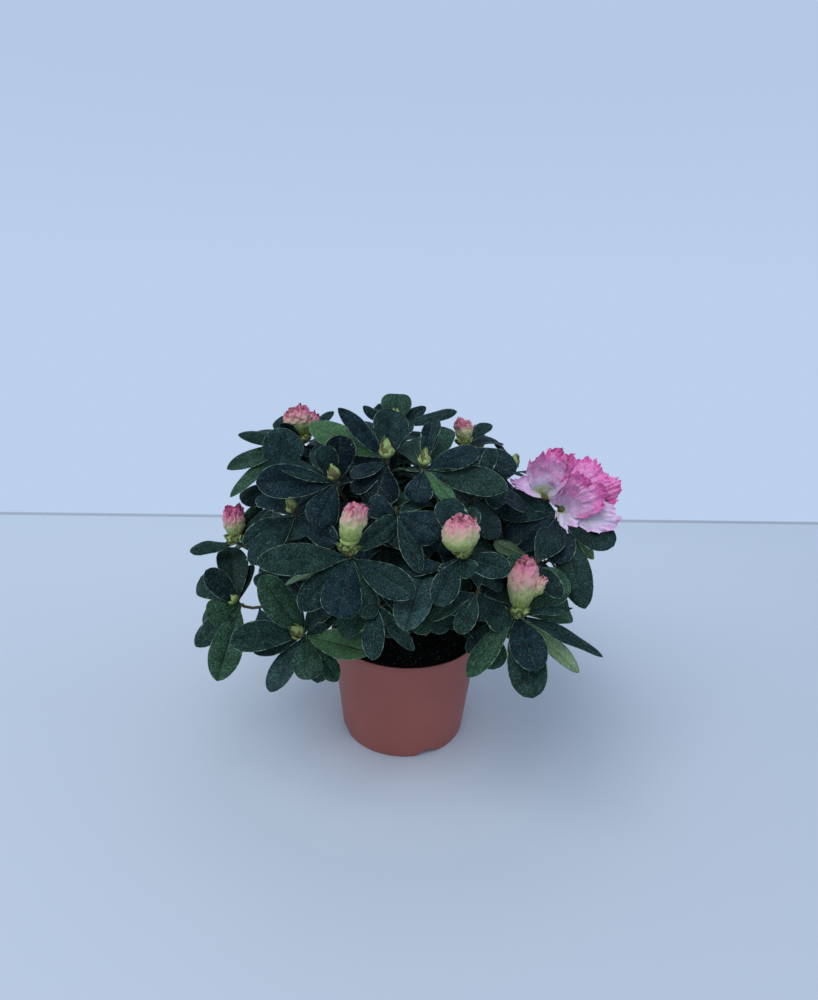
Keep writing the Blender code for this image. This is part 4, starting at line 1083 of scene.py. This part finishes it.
def add_petal(sheaf, blade, dice, blush, ruffle=1.0):
    """Adds a ruffled, toothed petal. blush is its tint at the base, the middle and the rim."""
    t = np.linspace(0, 1, PETAL_ROWS)[:, None]
    s = np.linspace(-1, 1, PETAL_COLUMNS)[None, :]
    p, q = dice.uniform(0, math.tau), dice.uniform(0, math.tau)
    teeth = np.array([dice.uniform(-1, 1) for _ in range(PETAL_COLUMNS)])[None, :]
    half = blade.width / 2 * np.sin(np.pi * (0.05 + 0.53 * t ** 0.75))
    lobes = 0.05 * np.sin(4 * s + p) + 0.04 * np.sin(9 * s + q)
    reach = blade.length * t * (1 - 0.15 * np.abs(s) ** 2.6 + lobes * t ** 3)
    reach = reach + min(0.65 * MM, 0.045 * blade.width) * teeth * t ** 8
    waves = np.sin(5 * s + p) + 0.6 * np.sin(11 * s + q) + 0.5 * np.sin(23 * s + p + 3 * t)
    z = ruffle * t ** 3 * waves * 1.4 * MM + 0.20 * half * (s ** 2 - 0.3)
    z = z + 0.4 * MM * np.sin(9 * t + p) * t
    middle, side, top = bent_sheet(blade, blade.bend * reach / blade.length)
    spots = crumple(middle + side * (s * half)[..., None] + top * z[..., None], t * 2.2 * MM, 130)
    spots = crumple(spots, t ** 1.5 * 1.2 * MM, 420)
    rim = np.clip((t - 0.66) / 0.34, 0, 1) ** 1.3
    edge = np.clip(np.abs(s) - 0.74, 0, 1) / 0.26 * np.clip(t * 2 - 0.4, 0, 1)
    value = np.interp(t, (0, 0.16, 0.55, 1), (0.04, blush[0], blush[1], blush[1]))
    sheaf.grid(spots, PETAL, value + (blush[2] - blush[1]) * np.maximum(rim, edge * 0.7))


def add_bloom(sheaf, number, shoot, dice):
    """Adds the two open double flowers of a shoot, each a funnel of ruffled petals on a green base."""
    for flower, (offset, axis, whorls) in enumerate(BLOOM_FLOWERS):
        axis = Vector(axis).normalized()
        base = shoot.tip + Vector(offset) * MM
        pair = axis_frame(axis)
        for row, *seen, foot, middle, rim in SEEN_PETALS:
            if row == flower:
                ruffle = 0.4 if middle < PALE_PETAL else 1.0
                add_petal(sheaf, seen_blade(base, seen), dice, (foot, middle, rim), ruffle)
        for count, start, lean, length, width, bend in whorls:
            for i in range(count):
                turn = math.radians(start + i * FULL_TURN / count + dice.uniform(-6, 6))
                tilt = math.radians(lean + dice.uniform(-5, 5))
                side = way_round(pair, turn)
                along, face = leaning(axis, side, tilt)
                if along.y >= FAR_PETAL:
                    blade = Blade(base + side * 1.5 * MM, along, face, length * MM * dice.uniform(0.94, 1.04),
                                  width * MM, math.radians(bend))
                    add_petal(sheaf, blade, dice, (0.34, dice.uniform(0.44, 0.60), 0.80))
        for i in range(BLOOM_SCALES):
            side = way_round(pair, i * math.tau / BLOOM_SCALES)
            add_scale(sheaf, base - axis * 2.5 * MM, axis, side, 2.6 * MM, 5 * MM, 0.8, SCALE, 0.6 * MM)
        add_tube(sheaf, [shoot.tip - UP * 4 * MM, shoot.tip, base], [1.0 * MM, 1.1 * MM, 1.2 * MM], 8, SCALE)


# ---------------------------------------------------------------- materials
class Nodes:
    """Builds the node tree of a material or of the world on its shader."""

    def __init__(self, owner, shader, coordinates, **plain):
        """Takes over the owner's tree and sets the plain values on its shader."""
        owner.use_nodes = True
        self.owner, self.tree = owner, owner.node_tree
        self.shader = self.tree.nodes[shader]
        self.where = self.add("TexCoord").outputs[coordinates]
        for key, value in plain.items():
            self.feed(self.shader, key.replace("_", " "), value)

    def feed(self, node, key, value):
        """Links a value that is a socket to a node's input, and sets any other."""
        if isinstance(value, bpy.types.NodeSocket):
            self.tree.links.new(value, node.inputs[key])
        else:
            node.inputs[key].default_value = value

    def add(self, kind, values=None, **settings):
        """Adds a node with its inputs and settings."""
        node = self.tree.nodes.new(f"ShaderNode{kind}")
        for key, value in settings.items():
            setattr(node, key, value)
        for key, value in (values or {}).items():
            self.feed(node, key, value)
        return node

    def noise(self, scale, detail=2.0, rough=0.5):
        """A noise texture's value."""
        values = {"Vector": self.where, "Scale": scale, "Detail": detail, "Roughness": rough}
        return self.add("TexNoise", values).outputs["Fac"]

    def ramp(self, fac, stops):
        """A colour ramp through (position, colour) stops."""
        node = self.add("ValToRGB", {"Fac": fac})
        elements = node.color_ramp.elements
        while len(elements) < len(stops):
            elements.new(0.5)
        for element, (position, colour) in zip(elements, stops):
            element.position = position
            element.color = (*colour, 1)
        return node.outputs["Color"]

    def blend(self, fac, first, second, mode="MIX"):
        """A blend of two colours."""
        values = {0: fac, 6: first, 7: second}
        return self.add("Mix", values, data_type="RGBA", blend_type=mode).outputs[2]

    def maths(self, operation, first, second=0.0):
        """A sum on two values."""
        return self.add("Math", {0: first, 1: second}, operation=operation).outputs[0]

    def times(self, first, second):
        """The product of two values."""
        return self.maths("MULTIPLY", first, second)

    def stretch(self, value, least, most, low=0.0, high=1.0):
        """A value taken from the range between least and most to the one between low and high."""
        ends = {"Value": value, "From Min": least, "From Max": most, "To Min": low, "To Max": high}
        return self.add("MapRange", ends).outputs[0]

    def split(self, value):
        """The X, Y and Z of a place."""
        return self.add("SeparateXYZ", {"Vector": value}).outputs

    def finish(self, colour, height=None, strength=0.0, distance=0.0):
        """Gives the shader its colour and, from a height, its relief. Returns the material."""
        self.feed(self.shader, "Base Color", colour)
        if height:
            bump = self.add("Bump", {"Height": height, "Strength": strength, "Distance": distance})
            self.feed(self.shader, "Normal", bump.outputs["Normal"])
        return self.owner


def skin_of(name, roughness, specular, **plain):
    """Starts a Principled material with its plain values set on the shader."""
    return Nodes(bpy.data.materials.new(name), "Principled BSDF", "Object", Roughness=roughness,
                 Specular_IOR_Level=specular, **plain)


def scaled(colour, share):
    """A colour made darker or paler."""
    return tuple(value * share for value in colour)


def leaf_material(name, colour, roughness, speck, painted_sheen, depth=1.0):
    """A leaf's skin: clouded with painted sheen, grained, specked with fine pale hairs, and quilted."""
    skin = skin_of(name, roughness, 0.07, Sheen_Weight=LEAF_SHEEN, Sheen_Roughness=0.45,
                   Sheen_Tint=(0.62, 0.85, 0.95, 1))
    cloud = skin.noise(120, 4, 0.6)
    # the clouds run from darker patches to patches of painted sheen
    body = skin.ramp(cloud, [(place, [mix((own * share, sheen_veil), part) for own, sheen_veil in zip(colour, painted_sheen)])
                             for place, share, part in ((0.30, 1 - 0.4 * depth, 0.05), (0.50, 1.0, 0.14),
                                                        (0.74, 1.0, 0.40))])
    grain = skin.stretch(skin.noise(1150, 2, 0.6), 0.36, 0.68, 0.0, 1.4)
    grain = skin.times(skin.maths("POWER", grain, 2.0), 1.1 * depth)
    body = skin.blend(1.0, body, skin.maths("ADD", grain, 1 - 0.3 * depth), "MULTIPLY")
    hairs = skin.add("TexVoronoi", {"Vector": skin.where, "Scale": 1600.0}).outputs
    spots = skin.ramp(hairs["Distance"], ((0.16, (1, 1, 1)), (0.40, (0, 0, 0))))
    chance = skin.maths("POWER", skin.add("SeparateColor", {"Color": hairs["Color"]}).outputs[0], 4.0)
    patch = skin.ramp(skin.noise(170), ((0.36, (0.2,) * 3), (0.66, (1, 1, 1))))
    body = skin.blend(skin.times(skin.times(spots, patch), chance), body, (*speck, 1))
    skin.feed(skin.shader, "Roughness", skin.stretch(cloud, 0.0, 1.0, roughness - 0.14, roughness + 0.20))
    cells = skin.add("TexVoronoi", {"Vector": skin.where, "Scale": 330.0}, feature="SMOOTH_F1")
    relief = skin.maths("ADD", skin.noise(600, 3), cells.outputs["Distance"])
    return skin.finish(body, relief, 0.85, 0.6 * MM)


def clouded_material(name, roughness, cloud, stops, relief=(), strength=0.0, distance=0.0):
    """A material clouded through its colours by one noise, with relief from another."""
    skin = skin_of(name, roughness, 0.2)
    body = skin.ramp(skin.noise(*cloud), stops)
    return skin.finish(body, skin.noise(*relief) if relief else None, strength, distance)


def plain_material(name, colour, roughness, dark=0.25, pale=1.6):
    """A thin trim: one tint, clouded from dark to pale."""
    stops = ((0.4, scaled(colour, dark)), (0.62, scaled(colour, pale)))
    return clouded_material(name, roughness, (300, 2), stops)


def bark_material(name, dark, pale, depth):
    """Bark, streaked and cracked."""
    stops = ((0.34, dark), (0.5, scaled(pale, 0.6)), (0.68, pale))
    return clouded_material(name, 0.8, (260, 5, 0.65), stops, (700, 4, 0.6), depth, 0.6 * MM)


def soil_material(name, *stops):
    """Damp peat and what lies in it."""
    return clouded_material(name, 0.95, (700, 4, 0.7), stops, (1400, 4, 0.7), 0.9, 0.8 * MM)


def tinted_material(name, specular, clouds, stops, relief, strength, distance, **plain):
    """A material that takes its colour from each point's tint, unsettled by noises, each with its depth."""
    skin = skin_of(name, 0.6, specular, **plain)
    value = skin.add("Attribute", attribute_name="tint").outputs["Fac"]
    for cloud, depth in clouds:
        value = skin.maths("ADD", value, skin.times(skin.maths("SUBTRACT", skin.noise(*cloud), 0.5), depth))
    return skin.finish(skin.ramp(value, stops), skin.noise(*relief), strength, distance)


def petal_material(name, stops, fleck_depth):
    """Petals, from a green base through cream and pink to deep rims, clouded, flecked and crimped."""
    clouds = (((230, 4, 0.65), 0.5), ((1200,), fleck_depth))
    return tinted_material(name, 0.15, clouds, stops, (650, 3), 0.7, 0.6 * MM, Subsurface_Weight=0.2,
                           Subsurface_Radius=(0.004, 0.002, 0.002), Sheen_Weight=0.12)


def bud_material(name, dark, pale):
    """Scales and closed buds: pale edges on a darker body, dusted with hairs."""
    stops = ((0.1, dark), (0.62, pale), (0.95, scaled(pale, 0.7)))
    return tinted_material(name, 0.25, (((500, 3), 0.9),), stops, (1500,), 0.4, 0.2 * MM)


def pot_material():
    """Moulded terracotta plastic: faintly cloudy, finely ribbed by the mould and dusted."""
    skin = skin_of("pot_plastic", 0.42, 0.4)
    body = skin.ramp(skin.noise(28, 3), ((0.3, scaled(POT_COLOUR, 0.93)), (0.7, scaled(POT_COLOUR, 1.07))))
    dust = skin.ramp(skin.noise(1500), ((0.70, (0, 0, 0)), (0.80, (1, 1, 1))))
    body = skin.blend(skin.times(dust, 0.10), body, (0.6, 0.5, 0.46, 1))
    skin.feed(skin.shader, "Roughness", skin.stretch(skin.noise(60, 4), 0.0, 1.0, 0.34, 0.56))
    ribs = skin.times(skin.maths("SINE", skin.times(skin.split(skin.where)["Z"], 2600.0)), 0.08)
    return skin.finish(body, skin.maths("ADD", ribs, skin.noise(900, 3)), 0.12, 0.3 * MM)


def table_material():
    """The table top, very slightly cloudy, with painted light: paler towards its far edge and round the pot.
    """
    skin = skin_of("table_top", 0.55, 0.25)
    body = skin.ramp(skin.noise(3, 3), ((0.3, scaled(TABLE_COLOUR, 0.985)), (0.7, TABLE_COLOUR)))
    # painted light: paler towards the far edge, and paler close to the pot, where the plant's shadow falls
    far_painted_light = skin.stretch(skin.split(skin.where)["Y"], 0.0, TABLE_EDGE[0][1], 1.0, TABLE_FAR_PAINTED_LIGHT)
    away = skin.add("VectorMath", {0: skin.where}, operation="LENGTH").outputs["Value"]
    pot_painted_light = skin.stretch(away, *POT_PAINTED_LIGHT_REACH, POT_PAINTED_LIGHT, 1.0)
    body = skin.blend(1.0, body, skin.times(far_painted_light, pot_painted_light), "MULTIPLY")
    return skin.finish(body, skin.noise(300), 0.03, 0.3 * MM)


def leaf_materials():
    """The materials of the leaves in the order of their slots: tops, under sides, midrib and margin."""
    found = []
    for i, (colour, roughness, share, depth) in enumerate(LEAF_TOPS):
        # painted sheen: each tint made paler, with a bluish veil
        painted_sheen = [value * 1.5 + sheen_veil * share for value, sheen_veil in zip(colour, LEAF_PAINTED_SHEEN)]
        found.append(leaf_material(f"leaf_{i}", colour, roughness, LEAF_HAIR, painted_sheen, depth))
    for i, colour in enumerate(LEAF_UNDERS):
        speck, painted_sheen = scaled(colour, 1.6), scaled(colour, 1.2)
        found.append(leaf_material(f"leaf_under_{i}", colour, 0.62, speck, painted_sheen, 0.4))
    found.append(plain_material("leaf_midrib", LEAF_RIB, 0.5))
    found.append(plain_material("leaf_margin", LEAF_MARGIN, 0.6))
    return found


def flower_materials():
    """The materials of the flowers in the order of their slots: petals, scales, green parts and pink buds."""
    return [petal_material("petal", PETAL_STOPS, 0.65),
            bud_material("bud_scale", (0.10, 0.060, 0.025), (0.17, 0.15, 0.05)),
            bud_material("bud_green", (0.10, 0.17, 0.03), (0.42, 0.50, 0.17)),
            petal_material("bud_petal", BUD_STOPS, 0.7)]


def soil_materials():
    """The materials of the soil in the order of their slots: peat, fibres and pale grains."""
    return [soil_material("soil", (0.30, (0.003, 0.004, 0.005)), (0.55, (0.010, 0.012, 0.013)),
                          (0.80, (0.028, 0.028, 0.028))),
            soil_material("peat_fibre", (0.3, (0.02, 0.013, 0.008)), (0.7, (0.09, 0.06, 0.035))),
            soil_material("pale_grain", (0.3, (0.22, 0.20, 0.17)), (0.7, (0.55, 0.53, 0.48)))]


# ---------------------------------------------------------------- pot and soil
def wall_radius(height):
    """The pot's outer radius at a height, below the lip."""
    return mix((FOOT_RADIUS, RIM_RADIUS - LIP_STEP), height / (POT_HEIGHT - LIP_HEIGHT))


def arc_points(centre, radius, start_deg, end_deg, count):
    """Points of a rounding in the plane of radius and height."""
    turns = [math.radians(turn) for turn in taper((start_deg, end_deg), count)]
    return [(centre[0] + radius * math.cos(turn), centre[1] + radius * math.sin(turn)) for turn in turns]


def pot_profile():
    """The pot's section: inner floor and wall, over the rounded rim, down the outside and in to the axis."""
    inner_foot = wall_radius(FLOOR_RISE) - WALL
    lip_base = POT_HEIGHT - LIP_HEIGHT
    rim_round = WALL * 0.45
    ring_inside = FOOT_RADIUS - FOOT_ROUND - FOOT_RING
    return (
        (0, WALL), (BOSS_RADIUS - WALL / 2, WALL),
        (BOSS_RADIUS + BOSS_SLOPE - WALL / 2, FLOOR_RISE + WALL), (inner_foot, FLOOR_RISE + WALL),
        (RIM_RADIUS - LIP_STEP - WALL, lip_base), (RIM_RADIUS - WALL, POT_HEIGHT - rim_round),
        *arc_points((RIM_RADIUS - rim_round - 0.1 * MM, POT_HEIGHT - rim_round), rim_round, 150, 0, 6),
        (RIM_RADIUS, POT_HEIGHT - 2 * LIP_STEP), (RIM_RADIUS, lip_base + 0.3 * MM),
        (RIM_RADIUS - 0.15 * MM, lip_base), (RIM_RADIUS - LIP_STEP, lip_base - LIP_STEP),
        *((wall_radius(height * MM), height * MM) for height in (60, 45, 30, 15, 6)),
        *arc_points((wall_radius(FOOT_ROUND) - FOOT_ROUND, FOOT_ROUND), FOOT_ROUND, 0, -90, 6),
        (ring_inside, 0), (ring_inside, FLOOR_RISE), (BOSS_RADIUS + BOSS_SLOPE, FLOOR_RISE), (BOSS_RADIUS, 0),
        (0, 0),
    )


def mesh_data(name, mesh):
    """Turns a mesh that was built up by hand into data for an object."""
    data = bpy.data.meshes.new(name)
    mesh.to_mesh(data)
    mesh.free()
    return data


def turned_mesh(name, profile, steps):
    """Turns a profile of radius and height round the Z axis into a closed mesh."""
    mesh = bmesh.new()
    rings = []
    for radius, height in profile:
        if radius < 0.01 * MM:
            rings.append([mesh.verts.new((0, 0, height))] * steps)
        else:
            turns = [k * math.tau / steps for k in range(steps)]
            rings.append([mesh.verts.new((radius * math.cos(turn), radius * math.sin(turn), height))
                          for turn in turns])
    for low, high in zip(rings, rings[1:]):
        for k in range(steps):
            mesh.faces.new(dict.fromkeys((low[k - 1], low[k], high[k], high[k - 1])))
    bmesh.ops.recalc_face_normals(mesh, faces=mesh.faces)
    return mesh_data(name, mesh)


def drum(name, radius, depth, sides):
    """A loose drum along Z to cut with."""
    mesh = bmesh.new()
    bmesh.ops.create_cone(mesh, cap_ends=True, segments=sides, radius1=radius, radius2=radius, depth=depth)
    return put(name, mesh_data(name, mesh))


def make_pot(material):
    """The nursery pot, with arched notches in its foot ring and drain holes in its raised floor."""
    pot = put("pot_shell", turned_mesh("pot_shell", pot_profile(), POT_STEPS))
    notch_radius = NOTCH_WIDTH ** 2 / (8 * NOTCH_HEIGHT) + NOTCH_HEIGHT / 2
    cutters = []
    for i in range(NOTCH_COUNT):
        bearing = NOTCH_BEARING + i * FULL_TURN / NOTCH_COUNT
        notch = drum(f"notch_{i}", notch_radius, 4 * FOOT_RING, 64)
        notch.rotation_euler = (0, math.pi / 2, math.radians(bearing))
        notch.location = heading(bearing, 0) * (FOOT_RADIUS - FOOT_RING / 2)
        notch.location.z = NOTCH_HEIGHT - notch_radius
        cutters.append(notch)
    for i in range(DRAIN_COUNT):
        drain = drum(f"drain_{i}", DRAIN_RADIUS, 4 * WALL, 24)
        drain.location = heading((i + DRAIN_OFFSET) * FULL_TURN / DRAIN_COUNT, 0) * DRAIN_CIRCLE
        drain.location.z = FLOOR_RISE + WALL / 2
        cutters.append(drain)
    for cutter in cutters:
        cut = pot.modifiers.new(cutter.name, "BOOLEAN")
        cut.operation = "DIFFERENCE"
        cut.solver = "MANIFOLD"
        cut.object = cutter
    data = bpy.data.meshes.new_from_object(pot.evaluated_get(bpy.context.evaluated_depsgraph_get()))
    pot.modifiers.clear()
    pot.data = data
    for cutter in cutters:
        bpy.data.objects.remove(cutter)
    data.materials.clear()
    data.materials.append(material)
    data.shade_smooth()
    data.set_sharp_from_angle(angle=math.radians(24))
    return pot


def soil_height(x, y):
    """The height of the soil's rough surface."""
    reach = math.hypot(x, y) / SOIL_RADIUS
    height = mix((SOIL_TOP - 0.8 * MM, SOIL_EDGE), reach ** 2)
    lumps = noise.noise(Vector((x, y, 0)) * 90) * 1.1 + noise.noise(Vector((x, y, 7)) * 300) * 0.55
    return height + lumps * MM * (1 - 0.5 * reach ** 6)


def soil_spot(radius, turn, lift=0.0):
    """A place at a radius and turn, on the soil or a lift above it."""
    x, y = radius * math.cos(turn), radius * math.sin(turn)
    return Vector((x, y, soil_height(x, y) + lift))


def stray(dice, reach, most=1.0):
    """The radius and turn of a place anywhere within a reach of the soil's middle."""
    return SOIL_RADIUS * reach * math.sqrt(dice.uniform(0.02, most)), dice.uniform(0, math.tau)


def make_soil():
    """The rough peat surface, with crumbs, pale grains and fibres."""
    dice = random.Random(SEED + 2)
    sheaf = Sheaf()
    peat, fibre, grain = range(3)
    spots = np.zeros((SOIL_RINGS + 2, SOIL_STEPS + 1, 3))
    for i in range(SOIL_RINGS + 1):
        for k in range(SOIL_STEPS + 1):
            turn = (k % SOIL_STEPS) * math.tau / SOIL_STEPS
            spots[i, k] = soil_spot(SOIL_RADIUS * (i / SOIL_RINGS) ** 0.85, turn)
    spots[-1] = spots[-2]
    spots[-1, :, 2] = SOIL_EDGE - 8 * MM
    sheaf.grid(spots, peat)
    for _ in range(CRUMBS):
        place = stray(dice, 1.0, 0.985)
        size = dice.choice((0.35, 0.5, 0.7, 1.0, 1.4)) * MM * dice.uniform(0.8, 1.2)
        add_lump(sheaf, soil_spot(*place, size * 0.3), size, dice, peat)
    for _ in range(GRAINS):
        place = stray(dice, 0.97)
        add_lump(sheaf, soil_spot(*place, 0.5 * MM), dice.uniform(0.25, 0.6) * MM, dice, grain)
    for _ in range(FIBRES):
        place = stray(dice, 0.86)
        way, length = heading(dice.uniform(0, 360), dice.uniform(-8, 24)), dice.uniform(2, 7) * MM
        start = soil_spot(*place, 0.3 * MM)
        end = start + way * length
        end.z = max(min(end.z, SOIL_TOP + 1.2 * MM), soil_height(end.x, end.y))
        middle = (start + end) / 2 + UP * dice.uniform(0, 0.8) * MM
        add_tube(sheaf, [start, middle, end], [0.16 * MM, 0.14 * MM, 0.08 * MM], 3, fibre)
    return sheaf.make("soil_top", soil_materials())


# ---------------------------------------------------------------- limbs, twigs and leaves
def make_limbs(material):
    """The main stem and the boughs, as tubes with knotty bark, each with its node."""
    shares = taper((0, 1), STEM_POINTS)
    rows = [("stem_bark", "main_stem", [stem_point(share) for share in shares],
             [stem_radius(share) for share in shares], 28, 0.7 * MM, 260)]
    for mass in MASSES:
        radii = taper(BOUGH_RADII, LIMB_POINTS)
        radii = [radius * (1 + 0.06 * math.sin(i * 1.7)) for i, radius in enumerate(radii)]
        rows.append((f"bark_{mass.name}", f"bough_{mass.name}", bough_path(mass, LIMB_POINTS), radii, 14,
                     0.35 * MM, 420))
    for name, node, points, radii, sides, relief, grain in rows:
        sheaf = Sheaf()
        add_tube(sheaf, points, radii, sides, 0, relief, grain)
        yield sheaf.make(name, [material]), node


def make_twigs(mass, shoots, material):
    """The twigs of one mass, from the end of its bough to each shoot's tip."""
    sheaf = Sheaf()
    hub, way = hub_of(mass), hub_way(mass)
    add_tube(sheaf, [hub + way * GAP, hub + way * STEMLET * 0.5, hub + way * STEMLET],
             [1.5 * MM, 1.7 * MM, 1.7 * MM], 10, relief=0.2 * MM)
    radii = taper(FINE_RADII, FINE_POINTS)
    for shoot in shoots:
        if shoot.mass == mass.name:
            add_tube(sheaf, twig_path(shoot, FINE_POINTS), radii, 8, relief=0.12 * MM)
    return sheaf.make(f"twigs_{mass.name}", [material])


def make_leaves(mass, shoots, leaves, materials):
    """The leaves of one mass. A leaf that has no tint of its own takes one of its shoot's two tints."""
    dice = random.Random(f"{SEED} {mass.name}")
    sheaf = Sheaf()
    rib = len(LEAF_TOPS) + len(LEAF_UNDERS)
    for blade, number, kind, slot in leaves:
        shoot = shoots[number]
        if shoot.mass != mass.name:
            continue
        if slot is None:
            tints = LOW_TINTS if shoot.tip.z < LOW_SHOOT else HIGH_TINTS
            slot = tints[(number * 7 + dice.choice((0, 0, 1))) % len(tints)]
        under = len(LEAF_TOPS) + dice.choice((0, 0, 1))
        if kind == "whorl":
            near = min(twig_path(shoot, FINE_POINTS), key=lambda spot: (spot - blade.root).length)
            blade = blade._replace(root=blade.root.lerp(near, 0.6))
        add_leaf(sheaf, blade, dice, (slot, under, rib, rib + 1))
    return sheaf.make(f"leaves_{mass.name}", materials)


# ---------------------------------------------------------------- stage
def make_stage():
    """The table top, a slab with a strip of painted shade along its far edge."""
    (left, left_far), (right, right_far) = TABLE_EDGE
    corners = ((left, TABLE_FRONT), (right, TABLE_FRONT), (right, right_far), (left, left_far))
    spots = [(x, y, z) for z in (-TABLE_THICK, 0) for x, y in corners]
    spots += [(x, y - PAINTED_SHADE_WIDTH, 0) for x, y in corners[2:]]
    faces = ((3, 2, 1, 0), (4, 5, 8, 9), (9, 8, 6, 7), (0, 1, 5, 4), (1, 2, 6, 8, 5), (2, 3, 7, 6),
             (3, 0, 4, 9, 7))
    data = bpy.data.meshes.new("table_top")
    data.from_pydata(spots, [], faces)
    data.materials.append(table_material())
    # painted shade: the strip along the far edge takes a darker copy of the table's tint
    data.materials.append(plain_material("table_seam", scaled(TABLE_COLOUR, 0.80), 0.8, 0.95, 1.05))
    data.polygons[2].material_index = 1
    put("table_top", data)


def make_world():
    """Pale blue surroundings, a little darker part of the way up."""
    world = bpy.data.worlds.new("surroundings")
    bpy.context.scene.world = world
    sky = Nodes(world, "Background", "Generated", Strength=WORLD_STRENGTH)
    stops = ((0.0, WALL_COLOUR), (0.25, scaled(WALL_COLOUR, 0.92)), (1.0, WALL_COLOUR))
    sky.feed(sky.shader, "Color", sky.ramp(sky.split(sky.where)["Z"], stops))


def make_light():
    """A square soft light aimed at the plant."""
    data = bpy.data.lights.new("key", "AREA")
    data.shape = "SQUARE"
    data.size = LIGHT_SIZE
    data.energy = LIGHT_POWER
    data.color = LIGHT_COLOUR
    light = put("key", data)
    light.location = LIGHT_PLACE
    light.rotation_euler = (Vector(LIGHT_AIM) - Vector(LIGHT_PLACE)).to_track_quat("-Z", "Y").to_euler()


def make_camera():
    """The camera, by its height, distance, pitch, roll and pan."""
    data = bpy.data.cameras.new("camera")
    data.sensor_fit = "VERTICAL"
    data.sensor_height = SENSOR_HEIGHT
    data.lens = CAMERA_LENS
    camera = put("camera", data)
    camera.matrix_world = Matrix.Translation(EYE) @ Matrix((ACROSS, ABOVE, -AHEAD)).transposed().to_4x4()
    bpy.context.scene.camera = camera


def dress(piece, slot, *nodes):
    """Lets a piece ride on the plant and stand for its nodes. The slot is not used."""
    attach(piece, "root")
    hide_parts(*nodes)


def main():
    """Sets the stage and dresses every node of the part."""
    noise.seed_set(SEED)  # unseeded, noise_vector would take its pattern from the clock
    bpy.context.scene.view_settings.view_transform = "Standard"
    make_camera()
    make_stage()
    make_world()
    make_light()
    dress(make_pot(pot_material()), "pot", "pot")
    dress(make_soil(), "soil", "soil")
    for piece, node in make_limbs(bark_material("bark", (0.055, 0.038, 0.026), (0.17, 0.13, 0.10), 0.8)):
        dress(piece, "bark", node)
    shoots, leaves = place_crown()
    twig_bark = bark_material("twig_bark", (0.060, 0.062, 0.026), (0.13, 0.085, 0.045), 0.3)
    leaf_set, flower_set = leaf_materials(), flower_materials()
    for mass in MASSES:
        dress(make_twigs(mass, shoots, twig_bark), "bark", f"foliage_{mass.name}")
        dress(make_leaves(mass, shoots, leaves, leaf_set), "foliage", f"foliage_{mass.name}")
    dice = random.Random(SEED + 3)
    for kind, name, add in (("pink", "pink_buds", add_pink_bud), ("small", "green_buds", add_green_bud),
                            ("bloom", "bloom", add_bloom)):
        sheaf = Sheaf()
        for number, shoot in enumerate(shoots):
            if shoot.bears == kind:
                add(sheaf, number, shoot, dice)
        nodes = sorted({f"foliage_{shoot.mass}" for shoot in shoots if shoot.bears == kind})
        dress(sheaf.make(name, flower_set, "tint"), "foliage", *nodes)


main()
